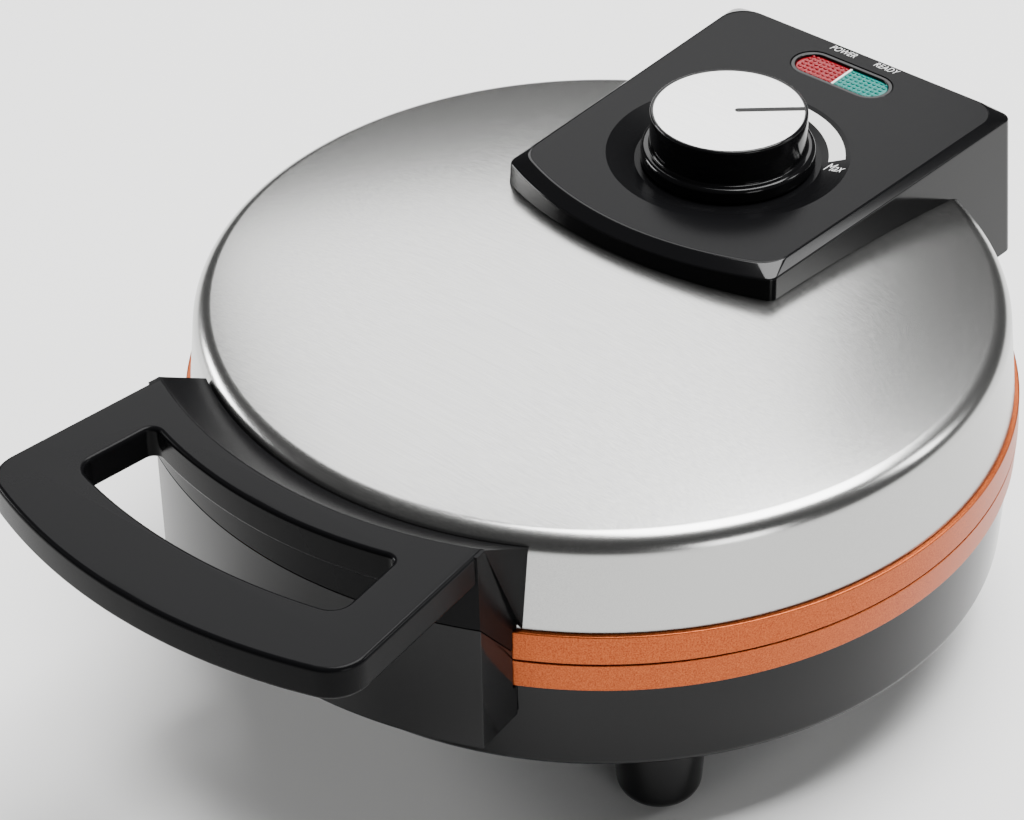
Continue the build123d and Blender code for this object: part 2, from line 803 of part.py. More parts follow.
# Front apron on the base: tall wall in front of the plate rims, open at the top
apron_inner_r = base_top_r + slack
with BuildPart() as front_apron:
    with BuildSketch(radial(-90 - apron_half_angle)):
        with BuildLine():
            Polyline(
                (apron_inner_r, apron_bottom_z),
                (apron_r, apron_bottom_z),
                (apron_r, parting_front_z - face_gap),
                (rim_clear_r, parting_rear_z - face_gap),
                (rim_clear_r, lower_rim_z - face_gap),
                (apron_inner_r, lower_rim_z - face_gap),
                close=True,
            )
        make_face()
    revolve(axis=body_axis, revolution_arc=2 * apron_half_angle)
    add(between_sides(near_x), mode=Mode.INTERSECT)
    with BuildSketch(radial(-90 - hollow_half_angle)):
        with BuildLine():
            Polyline(
                (apron_inner_r + wall, apron_bottom_z + wall),
                (apron_r - wall, apron_bottom_z + wall),
                (apron_r - wall, parting_front_z),
                (rim_clear_r - wall, parting_rear_z),
                (rim_clear_r - wall, lower_rim_z - face_gap),
                (apron_inner_r + wall, lower_rim_z - face_gap),
                close=True,
            )
        make_face()
    revolve(axis=body_axis, revolution_arc=2 * hollow_half_angle, mode=Mode.SUBTRACT)
    for side in (-1, 1):
        with BuildSketch(outward(-90 + side * apron_screw_angle, apron_inner_r - wall, apron_screw_z)):
            Circle(screw_r + seat_gap)
        extrude(amount=2 * wall, mode=Mode.SUBTRACT)
save(front_apron.part, "front_apron")

# Apron screws: from inside the base out into the apron
with BuildPart() as apron_screws:
    for side in (-1, 1):
        inner_face_r = base_bottom_r - wall + apron_head_sink
        with BuildSketch(outward(-90 + side * apron_screw_angle, inner_face_r - screw_head_height, apron_screw_z)):
            Circle(small_head_r)
        extrude(amount=screw_head_height)
        with BuildSketch(outward(-90 + side * apron_screw_angle, inner_face_r - screw_head_height, apron_screw_z)):
            Circle(screw_r)
        extrude(amount=screw_head_height + 2 * wall + screw_tip_gap)
save(apron_screws.part, "apron_screws")

# Hinge bracket: two ears and a web on the back of the base. The ears' top edge falls away at 45
# degrees from the knuckle, so that the upper rim can swing over it.
knuckle_side = knuckle_r * math.cos(math.radians(45))
with BuildPart() as hinge_bracket:
    for side in (-1, 1):
        with BuildSketch(Plane((side * (arm_outer_x + face_gap), body_y + hinge_y, seam_z), x_dir=(0, 1, 0),
                               z_dir=(1, 0, 0))) as ear_sketch:
            Circle(knuckle_r)
            with BuildLine():
                Polyline(
                    (-knuckle_side, knuckle_side),
                    (-knuckle_side - ear_neck, knuckle_side - ear_neck),
                    (-ear_root, knuckle_side - ear_neck),
                    (-ear_root, bracket_bottom_z - seam_z),
                    (-knuckle_r, bracket_bottom_z - seam_z),
                    (knuckle_side, -knuckle_side),
                    close=True,
                )
            make_face()
        extrude(amount=side * (ear_outer_x - arm_outer_x - face_gap))
    with BuildSketch(level(bracket_bottom_z)):
        with Locations((0, hinge_y - knuckle_r - bracket_web_depth / 2)):
            Rectangle(2 * ear_outer_x, bracket_web_depth)
    extrude(amount=bracket_web_top_z - bracket_bottom_z)
    with BuildSketch(level(bracket_bottom_z)):
        Circle(base_top_r + slack)
    extrude(amount=lower_rim_z - bracket_bottom_z, mode=Mode.SUBTRACT)
    with BuildSketch(level(lower_rim_z - face_gap)):
        Circle(plate_rim_r + face_gap)
    extrude(amount=4 * knuckle_r, mode=Mode.SUBTRACT)
    with BuildSketch(Plane((-ear_outer_x, body_y + hinge_y, seam_z), x_dir=(0, 1, 0), z_dir=(1, 0, 0))):
        Circle(hinge_pin_r + seat_gap)
    extrude(amount=2 * ear_outer_x, mode=Mode.SUBTRACT)
save(hinge_bracket.part, "hinge_bracket")

# Hinge pin through ears and arms, with a low head at each end
with BuildPart() as hinge_pin:
    with BuildSketch(Plane((-ear_outer_x, body_y + hinge_y, seam_z), x_dir=(0, 1, 0), z_dir=(1, 0, 0))):
        Circle(hinge_pin_r)
    extrude(amount=2 * ear_outer_x)
    for side in (-1, 1):
        with BuildSketch(Plane((side * ear_outer_x, body_y + hinge_y, seam_z), x_dir=(0, 1, 0), z_dir=(1, 0, 0))):
            Circle(hinge_pin_r + pin_head_lip)
        extrude(amount=side * pin_head_height)
save(hinge_pin.part, "hinge_pin")

# Hinge arms: two bars from the pin up the inside of the control housing's back
arm_rear_y = housing_reach - housing_flare - wall
with BuildPart() as hinge_arms:
    for side in (-1, 1):
        with BuildSketch(Plane((side * arm_inner_x, body_y, seam_z), x_dir=(0, 1, 0), z_dir=(1, 0, 0))):
            with Locations((hinge_y, 0)):
                Circle(knuckle_r)
            with Locations((arm_rear_y - arm_depth / 2, (arm_top_z - seam_z) / 2)):
                Rectangle(arm_depth, arm_top_z - seam_z)
        extrude(amount=side * (arm_outer_x - arm_inner_x))
    with BuildSketch(Plane((-ear_outer_x, body_y + hinge_y, seam_z), x_dir=(0, 1, 0), z_dir=(1, 0, 0))):
        Circle(hinge_pin_r + running_gap)
    extrude(amount=2 * ear_outer_x, mode=Mode.SUBTRACT)
    arm_screw_spots = [(s * (arm_inner_x + arm_outer_x) / 2, z) for s in (-1, 1)
                       for z in (arm_screw_low_z, arm_screw_high_z)]
    with BuildSketch(Plane((0, body_y + arm_rear_y - arm_depth, 0), x_dir=(1, 0, 0), z_dir=(0, -1, 0))):
        with Locations(*arm_screw_spots):
            Circle(screw_r + slack)
    extrude(amount=-arm_depth, mode=Mode.SUBTRACT)
save(hinge_arms.part, "hinge_arms")

# Arm screws: through the arms into the back of the housing
with BuildPart() as arm_screws:
    with BuildSketch(Plane((0, body_y + arm_rear_y - arm_depth, 0), x_dir=(1, 0, 0), z_dir=(0, -1, 0))):
        with Locations(*arm_screw_spots):
            Circle(small_head_r)
    extrude(amount=screw_head_height)
    with BuildSketch(Plane((0, body_y + arm_rear_y - arm_depth, 0), x_dir=(1, 0, 0), z_dir=(0, -1, 0))):
        with Locations(*arm_screw_spots):
            Circle(screw_r)
    extrude(amount=-(arm_depth + wall - screw_tip_gap))
save(arm_screws.part, "arm_screws")


def housing_face(inset, z, corner, front_inset=0.0):
    """Plan outline of the control housing at height z, drawn in by inset, with this corner round."""
    rear = (housing_rear_x - inset, housing_reach - housing_flare - inset)
    front = (housing_front_x - inset, housing_front_y + inset + front_inset)
    with BuildSketch(level(z)) as outline:
        with BuildLine():
            p1 = Line((-rear[0], rear[1]), rear)
            p2 = Line(p1 @ 1, front)
            p3 = ThreePointArc(p2 @ 1, (0, front[1] - housing_bow), (-front[0], front[1]))
            Line(p3 @ 1, p1 @ 0)
        make_face()
        fillet(outline.vertices(), radius=corner)
    return outline.sketch


# Cone over the recess round the knob
knob_axis = Axis((0, body_y + knob_y, 0), (0, 0, 1))
with BuildPart() as recess_cone:
    with BuildSketch(radial(0, knob_y)):
        with BuildLine():
            Polyline(
                (0, recess_z), (recess_floor_r, recess_z), (recess_r, housing_top_z), (0, housing_top_z),
                close=True
            )
        make_face()
    revolve(axis=knob_axis)

# Control housing: bevelled roof and flared walls that stand on the dome and reach down behind the skirt
bevel_z = housing_top_z - housing_bevel
with BuildPart() as control_housing:
    loft(
        [
            housing_face(-housing_flare, housing_rear_z, housing_corner_round).faces()[0],
            housing_face(0, bevel_z, housing_corner_round).faces()[0],
        ],
        ruled=True
    )
    loft(
        [
            housing_face(0, bevel_z, housing_corner_round).faces()[0],
            housing_face(housing_bevel, housing_top_z, panel_corner_round, housing_front_slope).faces()[0],
        ],
        ruled=True
    )
    extrude(
        housing_face(wall, housing_rear_z, housing_corner_round),
        amount=roof_under_z - housing_rear_z, mode=Mode.SUBTRACT
    )
    with BuildSketch(level(lid_frame_top_z)):
        with Locations(*boss_spots):
            Circle(housing_boss_r)
    extrude(amount=roof_under_z - lid_frame_top_z)
    add(lid_body(slack), mode=Mode.SUBTRACT)
    with BuildSketch(level(housing_rear_z)):
        Circle(plate_rim_r + face_gap)
    extrude(amount=lid_lower_z - housing_rear_z, mode=Mode.SUBTRACT)
    with BuildSketch(level(lid_frame_top_z)):
        with Locations(*boss_spots):
            Circle(screw_r + seat_gap)
    extrude(amount=roof_under_z - lid_frame_top_z - screw_tip_gap, mode=Mode.SUBTRACT)
    extrude(
        housing_face(panel_inset, panel_z, panel_corner_round, housing_front_slope),
        amount=panel_thickness, mode=Mode.SUBTRACT
    )
    add(recess_cone.part, mode=Mode.SUBTRACT)
    with BuildSketch(level(roof_under_z)):
        with Locations((0, knob_y)):
            Circle(shaft_r + running_gap)
        with Locations((0, window_y)):
            SlotOverall(window_length, window_width)
    extrude(amount=housing_roof, mode=Mode.SUBTRACT)
    with BuildSketch(Plane((0, body_y + arm_rear_y, 0), x_dir=(1, 0, 0), z_dir=(0, -1, 0))):
        with Locations(*arm_screw_spots):
            Circle(screw_r + seat_gap)
    extrude(amount=-(wall - screw_tip_gap / 2), mode=Mode.SUBTRACT)
save(control_housing.part, "control_housing")

# Control panel: satin sheet set flush in the housing roof
with BuildPart() as control_panel:
    extrude(
        housing_face(panel_inset + seat_gap, panel_z, panel_corner_round, housing_front_slope),
        amount=panel_thickness
    )
    add(recess_cone.part, mode=Mode.SUBTRACT)
    with BuildSketch(level(panel_z)):
        with Locations((0, window_y)):
            SlotOverall(window_length, window_width)
    extrude(amount=panel_thickness, mode=Mode.SUBTRACT)
save(control_panel.part, "control_panel")

# Housing screws: up through the lid shell into the housing bosses
dome_drop = {y: dome_r - math.sqrt(dome_r ** 2 - housing_boss_x ** 2 - y ** 2)
             for y in (housing_boss_front_y, housing_boss_rear_y)}
with BuildPart() as housing_screws:
    for spot in boss_spots:
        under_z = lid_top_z - sheet - dome_drop[spot[1]] - housing_head_gap
        with BuildSketch(level(under_z, *spot)):
            Circle(small_head_r)
        extrude(amount=-small_head_height)
        with BuildSketch(level(under_z, *spot)):
            Circle(screw_r)
        extrude(amount=housing_screw_length)
save(housing_screws.part, "housing_screws")

# Indicator lenses: two halves of one pill-shaped window, each with a ledge under the roof
for label, side in (("power_lens", -1), ("ready_lens", 1)):
    with BuildPart() as lens:
        with BuildSketch(level(roof_under_z)):
            with Locations((0, window_y)):
                SlotOverall(window_length - 2 * slack, window_width - 2 * slack)
                with Locations((-side * window_length / 2, 0)):
                    Rectangle(window_length + 2 * slack, 2 * window_width, mode=Mode.SUBTRACT)
        extrude(amount=housing_roof - lens_drop)
        with BuildSketch(level(roof_under_z)):
            with Locations((0, window_y)):
                SlotOverall(window_length + 2 * lens_flange, window_width + 2 * lens_flange)
                with Locations((-side * window_length, 0)):
                    Rectangle(2 * window_length + 2 * slack, 2 * window_width, mode=Mode.SUBTRACT)
        extrude(amount=-(lens_height - housing_roof + lens_drop))
    save(lens.part, label)

# Lamps: two small neon tubes under the lenses, in one holder
lamp_z = roof_under_z - (lens_height - housing_roof + lens_drop) - lamp_r - slack
with BuildPart() as lamps:
    for side in (-1, 1):
        with BuildSketch(Plane((side * window_length / 4, body_y + window_y - lamp_length / 2, lamp_z),
                               x_dir=(1, 0, 0), z_dir=(0, 1, 0))):
            Circle(lamp_r)
        extrude(amount=lamp_length)
save(lamps.part, "lamps")

with BuildPart() as lamp_holder:
    with BuildSketch(level(lamp_z - lamp_r - holder_floor)):
        with Locations((0, window_y)):
            Rectangle(window_length + 2 * lens_flange, window_width)
    extrude(amount=lamp_r + holder_floor)
    for side in (-1, 1):
        with BuildSketch(Plane((side * window_length / 4, body_y + window_y - window_width, lamp_z),
                               x_dir=(1, 0, 0), z_dir=(0, 1, 0))):
            Circle(lamp_r + seat_gap)
        extrude(amount=2 * window_width, mode=Mode.SUBTRACT)
    with BuildSketch(level(lamp_z)):
        with Locations((0, window_y)):
            Rectangle(holder_rib, window_width)
    extrude(amount=lamp_r + slack)
save(lamp_holder.part, "lamp_holder")

# Dial scale: thin pale arc on the recess slope, wide at the hot end and narrow at the cool end
slope = recess_depth / (recess_r - recess_floor_r)
scale_inner_r = scale_outer_r - scale_wide
scale_middle_r = scale_outer_r - (scale_wide + scale_narrow) / 2
scale_shift = (scale_wide - scale_narrow) / 2 / math.cos(math.radians(scale_start))
scale_outer_z = housing_top_z - slope * (recess_r - scale_outer_r)
scale_inner_z = housing_top_z - slope * (recess_r - scale_inner_r)
with BuildPart() as dial_scale:
    with BuildSketch(radial(scale_start, knob_y)):
        with BuildLine():
            Polyline(
                (scale_inner_r, scale_inner_z),
                (scale_outer_r, scale_outer_z),
                (scale_outer_r, scale_outer_z + scale_thickness),
                (scale_inner_r, scale_inner_z + scale_thickness),
                close=True,
            )
        make_face()
    revolve(axis=knob_axis, revolution_arc=scale_end - scale_start)
    with BuildSketch(level(recess_z, -scale_shift, knob_y)):
        Circle(scale_middle_r)
    extrude(amount=recess_depth, mode=Mode.SUBTRACT)
save(dial_scale.part, "dial_scale")

# Knob: flange, tall body open underneath, hub on the shaft
knob_bottom_z = recess_z + knob_lift
with BuildPart() as knob_body:
    with BuildSketch(level(knob_bottom_z, 0, knob_y)):
        Circle(knob_flange_r)
    extrude(amount=knob_flange_height)
    with BuildSketch(level(knob_bottom_z, 0, knob_y)):
        Circle(knob_r)
    extrude(amount=knob_top_z - knob_bottom_z)
    fillet(knob_body.edges().filter_by(GeomType.CIRCLE).sort_by(Axis.Z)[-1], radius=knob_edge_round)
    with BuildSketch(level(knob_bottom_z, 0, knob_y)):
        Circle(knob_r - knob_wall)
        Circle(knob_hub_r, mode=Mode.SUBTRACT)
    extrude(amount=knob_top_z - knob_bottom_z - 2 * knob_wall, mode=Mode.SUBTRACT)
    with BuildSketch(level(knob_bottom_z, 0, knob_y)):
        Circle(shaft_r + seat_gap)
    extrude(amount=knob_bore_depth, mode=Mode.SUBTRACT)
    with BuildSketch(level(knob_top_z - knob_face_thickness, 0, knob_y)):
        Circle(knob_face_r)
    extrude(amount=knob_face_thickness, mode=Mode.SUBTRACT)
save(knob_body.part, "knob_body")

# Knob face: pale metal disc with a groove for the pointer line
pointer_turn = math.radians(pointer_angle)
pointer_plane = Plane(
    (0, body_y + knob_y, knob_top_z - pointer_depth),
    x_dir=(math.cos(pointer_turn), math.sin(pointer_turn), 0), z_dir=(0, 0, 1)
)
pointer_end = knob_face_r - pointer_margin
with BuildPart() as knob_face:
    with BuildSketch(level(knob_top_z - knob_face_thickness, 0, knob_y)):
        Circle(knob_face_r - seat_gap)
    extrude(amount=knob_face_thickness)
    with BuildSketch(pointer_plane):
        with Locations(((pointer_start + pointer_end) / 2, 0)):
            Rectangle(pointer_end - pointer_start, pointer_width)
    extrude(amount=pointer_depth, mode=Mode.SUBTRACT)
save(knob_face.part, "knob_face")

with BuildPart() as knob_pointer:
    with BuildSketch(pointer_plane):
        with Locations(((pointer_start + pointer_end) / 2, 0)):
            Rectangle(pointer_end - pointer_start, pointer_width)
    extrude(amount=pointer_depth)
save(knob_pointer.part, "knob_pointer")

# Thermostat: body and strap under the roof, shaft up into the knob
thermostat_top_z = roof_under_z - strap_thickness
shaft_foot_z = thermostat_top_z - thermostat_height + thermostat_floor + face_gap
with BuildPart() as thermostat_body:
    with BuildSketch(level(thermostat_top_z - thermostat_height, 0, knob_y)):
        Circle(thermostat_r)
    extrude(amount=thermostat_height)
    with BuildSketch(level(thermostat_top_z - thermostat_height + thermostat_floor, 0, knob_y)):
        Circle(shaft_r + running_gap)
    extrude(amount=thermostat_height - thermostat_floor, mode=Mode.SUBTRACT)
save(thermostat_body.part, "thermostat_body")

with BuildPart() as thermostat_strap:
    with BuildSketch(level(thermostat_top_z, 0, knob_y)):
        Rectangle(2 * strap_half_length, strap_width)
        Circle(shaft_r + running_gap, mode=Mode.SUBTRACT)
    extrude(amount=strap_thickness)
save(thermostat_strap.part, "thermostat_strap")

with BuildPart() as thermostat_shaft:
    with BuildSketch(level(shaft_foot_z, 0, knob_y)):
        Circle(shaft_r)
    extrude(amount=knob_bottom_z + knob_bore_depth - shaft_foot_z)
save(thermostat_shaft.part, "thermostat_shaft")

# Thermal fuse: capsule on one upper strap
upper_strap_z = 2 * seam_z - strap_z + clip_thickness
fuse_turn = math.radians(30)
with BuildPart() as thermal_fuse:
    with BuildSketch(Plane(
        (element_ring_r * math.cos(fuse_turn) - math.cos(fuse_turn) * fuse_length / 2,
         body_y + element_ring_r * math.sin(fuse_turn) - math.sin(fuse_turn) * fuse_length / 2,
         upper_strap_z + fuse_r),
        x_dir=(0, 0, 1), z_dir=(math.cos(fuse_turn), math.sin(fuse_turn), 0)
    )):
        Circle(fuse_r)
    extrude(amount=fuse_length)
save(thermal_fuse.part, "thermal_fuse")

# Inlet gland in the back wall, bored through for a lead
inlet_seat_r = base_top_r - 4 * slack
with BuildPart() as inlet_gland:
    with BuildSketch(outward(90, inlet_seat_r, inlet_z)):
        Circle(inlet_flange_r)
    extrude(amount=inlet_flange_thickness)
    with BuildSketch(outward(90, inlet_seat_r + inlet_flange_thickness, inlet_z)):
        Circle(inlet_body_r)
    extrude(amount=-inlet_length)
    with BuildSketch(outward(90, inlet_seat_r + inlet_flange_thickness, inlet_z)):
        Circle(inlet_r)
    extrude(amount=-inlet_length, mode=Mode.SUBTRACT)
save(inlet_gland.part, "inlet_gland")

# Terminal block on the bottom cover
with BuildPart() as terminal_block:
    with BuildSketch(level(base_bottom_z)):
        with Locations((0, -block_front_y)):
            Rectangle(block_length, block_width)
    extrude(amount=block_height)
save(terminal_block.part, "terminal_block")
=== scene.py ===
import bpy
import bmesh
import math
from mathutils import Matrix, Vector


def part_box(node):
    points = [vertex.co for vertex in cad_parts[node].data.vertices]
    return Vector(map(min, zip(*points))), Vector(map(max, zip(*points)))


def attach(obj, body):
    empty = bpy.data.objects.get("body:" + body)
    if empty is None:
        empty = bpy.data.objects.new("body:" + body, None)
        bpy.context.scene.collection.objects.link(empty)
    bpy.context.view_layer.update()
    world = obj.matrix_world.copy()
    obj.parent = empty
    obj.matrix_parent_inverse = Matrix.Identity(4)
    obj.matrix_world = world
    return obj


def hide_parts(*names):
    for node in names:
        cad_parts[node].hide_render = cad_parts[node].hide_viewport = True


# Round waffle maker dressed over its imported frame. Plan sizes are millimetres counted from the
# upright axis of the round body, heights are millimetres above the table; meshes are in metres.

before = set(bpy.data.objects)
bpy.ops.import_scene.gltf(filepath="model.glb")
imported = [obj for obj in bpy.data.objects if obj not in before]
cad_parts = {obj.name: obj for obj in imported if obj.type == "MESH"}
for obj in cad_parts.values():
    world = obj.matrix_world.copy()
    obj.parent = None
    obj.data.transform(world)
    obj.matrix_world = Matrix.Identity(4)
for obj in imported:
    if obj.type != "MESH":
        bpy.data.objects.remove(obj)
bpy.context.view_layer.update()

MM = 0.001
SMOOTH_STEPS = 192

# Sizes that the frame gives
lid_low, lid_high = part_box("lid_shell")
plate_low, plate_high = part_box("lower_plate")
knob_low, knob_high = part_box("knob_body")
housing_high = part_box("control_housing")[1]
handle_low, handle_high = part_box("handle")
base_low, base_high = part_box("base_shell")
axis_y = (lid_low.y + lid_high.y) / 2
knob_y = ((knob_low.y + knob_high.y) / 2 - axis_y) / MM
lid_low_r = (lid_high.x - lid_low.x) / 2 / MM
lid_lower_z = lid_low.z / MM
plate_rim_r = (plate_high.x - plate_low.x) / 2 / MM
plate_top_z = plate_high.z / MM
knob_flange_r = (knob_high.x - knob_low.x) / 2 / MM
knob_bottom_z = knob_low.z / MM
knob_top_z = knob_high.z / MM
housing_reach = (housing_high.y - axis_y) / MM
housing_top_z = housing_high.z / MM
handle_reach = (axis_y - handle_low.y) / MM
handle_top_z = handle_high.z / MM
base_top_r = (base_high.x - base_low.x) / 2 / MM
base_bottom_z = base_low.z / MM
seam_gap = 0.4
seam_z = plate_top_z + seam_gap / 2

# Plates
plate_edge_r = 107.67
rim_height = 8.16
rim_width = 4.0
flange_thickness = 3.0
pocket_r = 89.0
pocket_depth = 13.8
plate_wall = 2.5
pocket_round = 1.5
land_round = 0.8
plate_top_round = 0.25
plate_edge_round = 0.4
skin_round = 1.0
peg_size = 11.0
peg_pitch = 17.0
peg_height = 10.0
peg_taper = 8.0
peg_rows = 10
peg_field_r = 84.75
peg_edge = 0.8
divider_width = 3.0
divider_height = 11.0
divider_edge = 0.6
divider_inset = 0.2
sunk = 1.0
screw_ring_r = 97.6
screw_start = 20.0
boss_r = 4.0
boss_drop = 1.0
lower_rim_z = plate_top_z - rim_height

# Base
base_bottom_r = 105.24
base_edge_round = 3.0
base_top_round = 0.3
base_gap = 0.1
overlap = 0.1
base_opening_r = 62.0
wall = 2.5
post_r = 5.0
bore_r = 1.7
tray_flange_z = lower_rim_z - 0.8
foot_x = 65.7
foot_y = 57.0
foot_top_r = 12.0
foot_bottom_r = 10.5
foot_round = 6.0
foot_edge_z = 1.0
pad_r = 5.5
pad_height = 3.0
pad_round = 0.4
hairline = 0.02

# Lid
sheet = 0.8
lid_draft = 2.5
lid_r = lid_low_r - lid_draft
lid_edge_z = 93.8
lid_top_z = 102.5
lid_edge_round = 6.0
opening_half = 28.0
opening_front = 22.0
opening_back = 84.0
opening_low_z = 80.0
opening_high_z = 110.0

# Handle and front apron
handle_thickness = 9.0
crease_r = 118.4
crease_x = 52.7
crease_y = math.sqrt(crease_r ** 2 - crease_x ** 2)
handle_front_x = 58.0
handle_front_r = 150.0
handle_corner = 10.0
slot_rear_x = 39.4
slot_rear_r = 126.5
slot_front_x = 42.0
slot_front_r = 149.0
slot_rear_corner = 2.5
slot_front_corner = 5.0
handle_edge = 1.2
cove_z = 91.8
side_slope = 0.123
ear_y = 92.9
ear_proud = 1.4
ear_lean = 1.3
apron_half_angle = 32.0
hollow_half_angle = 24.5
apron_r = 120.5
apron_bottom_z = 42.0
parting_front_z = 78.7
parting_rear_z = 63.0
face_gap = 0.3
clear_r = plate_rim_r + face_gap
crease_sink = 0.3
crease_step = 0.45
brow_proud = 0.5
apron_edge = 0.35
lower_apron_edge = 0.5

# Control housing and panel
housing_flare = 2.05
housing_rear_x = 46.25
housing_front_x = 43.2
housing_front_y = 14.5
housing_bow = 10.2
housing_corner = 3.0
housing_front_slope = 1.8
housing_bevel = 2.0
housing_edge = 0.4
housing_edge_limit = 20.0
dome_gap = 0.1
housing_rear_z = 65.0
roof = 3.0
panel_inset = 2.3
panel_corner = 8.0
panel_thickness = 1.0
panel_edge = 0.12
recess_r = 32.0
recess_floor_r = 24.5
recess_depth = 2.0
recess_slope = (recess_r - recess_floor_r) / recess_depth
recess_inset = 0.1
hole_depth = 1.5
lining_inner_r = 20.5
lining_outer_r = 28.4
lining_lift = 0.03
lining_depth = 0.2
window_y = 102.0
window_length = 31.3
window_width = 12.6
window_rim = 1.4
window_edge = 0.3
window_drop = 0.2
window_low_z = 100.0
window_high_z = 112.0
lens_drop = 0.9
lens_edge = 0.3
lens_split = 0.3
glass_low_z = 95.0
bead_r = 0.7
bead_columns = 8
bead_rows = 6
bead_start = 1.2
bead_end = 3.2
bead_side = 2.0
line_width = 0.6
line_inset = 0.1
line_lift = 0.2

# Knob
knob_r = 20.6
knob_face_r = 19.8
knob_flange_height = 4.0
knob_wall = 1.8
knob_face_depth = 0.8
knob_face_drop = 0.15
knob_face_gap = 0.05
knob_foot_round = 0.4
flange_round = 1.2
waist_round = 0.5
knob_top_round = 0.6
pointer_drop = 0.12
pointer_root = 0.4
pointer_stop = 0.1
shaft_depth = 8.0
hub_r = 6.0
shaft_r = 3.02
pointer_angle = 41.3
pointer_start = 2.4
pointer_width = 1.8
scale_start = 33.0
scale_end = 152.0
scale_outer_r = 30.6
scale_wide = 4.3
scale_narrow = 0.8
scale_lift = 0.1
scale_depth = 0.2

# Function words on the panel: place, height and lift over the face
power_spot = (-6.6, 111.8)
ready_spot = (7.4, 112.0)
small_letter = 3.3
hot_spot = (25.4, knob_y + 12.2)
hot_letter = 4.6
flat_lift = 0.01
slope_lift = 0.12
letter_slant = 0.3
letter_thin = 0.008
letter_width = 0.72
letter_thickness = 0.02

# Cutting meshes run this far past what they cut
past = 1.0

# Fineness of round outlines
ROUND_STEPS = 6
SLOT_STEPS = 8
PILL_STEPS = 10
CORNER_STEPS = 12
ARC_STEPS = 24
CREASE_STEPS = 32
SCALE_STEPS = 64
LID_STEPS = 256
KNOB_STEPS = 160
RECESS_STEPS = 128
APRON_STEPS = 64
FOOT_STEPS = 64
PAD_STEPS = 48
BOSS_STEPS = 32

# Angles in degrees above which an edge is drawn crisp
SHARP = 35.0
HANDLE_SHARP = 25.0
PANEL_SHARP = 12.0
LENS_SHARP = 50.0


def linear(colour):
    """sRGB hex to a linear RGBA colour."""
    channels = [int(colour[i:i + 2], 16) / 255 for i in (1, 3, 5)]
    return tuple(c / 12.92 if c < 0.04045 else ((c + 0.055) / 1.055) ** 2.4 for c in channels) + (1.0,)


def add_node(tree, kind, inputs=None, **settings):
    """Adds one node. Each input takes a value, or a link where it is given a socket."""
    node = tree.nodes.new(kind)
    for name, value in settings.items():
        setattr(node, name, value)
    for key, value in (inputs or {}).items():
        if isinstance(value, bpy.types.NodeSocket):
            tree.links.new(value, node.inputs[key])
        else:
            node.inputs[key].default_value = value
    return node


def start_finish(name, colour, roughness, metallic=0.0, **sockets):
    """New material with one Principled shader; further sockets are given by name with _ for a space."""
    finish = bpy.data.materials.new(name)
    finish.use_nodes = True
    tree = finish.node_tree
    tree.nodes.clear()
    values = {"Base Color": linear(colour), "Roughness": roughness, "Metallic": metallic}
    values.update({key.replace("_", " "): value for key, value in sockets.items()})
    shader = add_node(tree, "ShaderNodeBsdfPrincipled", values)
    add_node(tree, "ShaderNodeOutputMaterial", {"Surface": shader.outputs["BSDF"]})
    return finish, tree, shader


def grain(tree, size, detail=2.0, stretch=(1.0, 1.0, 1.0)):
    """Noise whose cells are about size millimetres, drawn out along an axis by stretch."""
    spot = add_node(tree, "ShaderNodeTexCoord")
    scale = [1 / (size * MM * s) for s in stretch]
    mapping = add_node(tree, "ShaderNodeMapping", {"Vector": spot.outputs["Object"], "Scale": scale})
    inputs = {"Vector": mapping.outputs["Vector"], "Scale": 1.0, "Detail": detail}
    return add_node(tree, "ShaderNodeTexNoise", inputs).outputs["Fac"]


def spread(tree, value, low, high, start=0.3, stop=0.7):
    """Maps a noise value to the range low to high."""
    inputs = {"Value": value, "From Min": start, "From Max": stop, "To Min": low, "To Max": high}
    return add_node(tree, "ShaderNodeMapRange", inputs).outputs["Result"]


def tint(tree, value, dark, light):
    """Blends two sRGB colours by a value from 0 to 1."""
    inputs = {0: value, 6: linear(dark), 7: linear(light)}
    return add_node(tree, "ShaderNodeMix", inputs, data_type="RGBA").outputs[2]


def relief(tree, shader, value, depth):
    """Gives the shader a bump of this depth in millimetres."""
    inputs = {"Height": value, "Strength": 1.0, "Distance": depth * MM}
    bump = add_node(tree, "ShaderNodeBump", inputs)
    tree.links.new(bump.outputs["Normal"], shader.inputs["Normal"])


def plastic(name, colour, rough_low, rough_high, size, depth, **sockets):
    """Moulded plastic: dark body colour, clear sheen and a fine mould grain."""
    finish, tree, shader = start_finish(name, colour, rough_low, 0.0, **sockets)
    cells = grain(tree, size)
    tree.links.new(spread(tree, cells, rough_low, rough_high), shader.inputs["Roughness"])
    relief(tree, shader, cells, depth)
    return finish


def brushed_metal(name, dark, light, rough_low, rough_high, width, length, depth):
    """Brushed metal: hair-fine streaks along X that vary in tone and roughness."""
    finish, tree, shader = start_finish(name, light, rough_low, 1.0)
    streaks = grain(tree, width, 3.0, (length / width, 1.0, 1.0))
    tree.links.new(spread(tree, streaks, rough_low, rough_high), shader.inputs["Roughness"])
    tone = tint(tree, spread(tree, streaks, 0.0, 1.0), dark, light)
    tree.links.new(tone, shader.inputs["Base Color"])
    relief(tree, shader, streaks, depth)
    return finish


def copper_coat():
    """Copper-coloured ceramic non-stick: metallic flakes in a matt coat, which glint as fine grain."""
    finish, tree, shader = start_finish("copper_nonstick_coat", "#A0502A", 0.36, 0.9)
    flakes = grain(tree, 0.35, 1.0)
    tone = tint(tree, spread(tree, flakes, 0.0, 1.0), "#8A3C1C", "#B25C30")
    tree.links.new(tone, shader.inputs["Base Color"])
    tree.links.new(spread(tree, flakes, 0.34, 0.42), shader.inputs["Roughness"])
    relief(tree, shader, flakes, 0.02)
    return finish


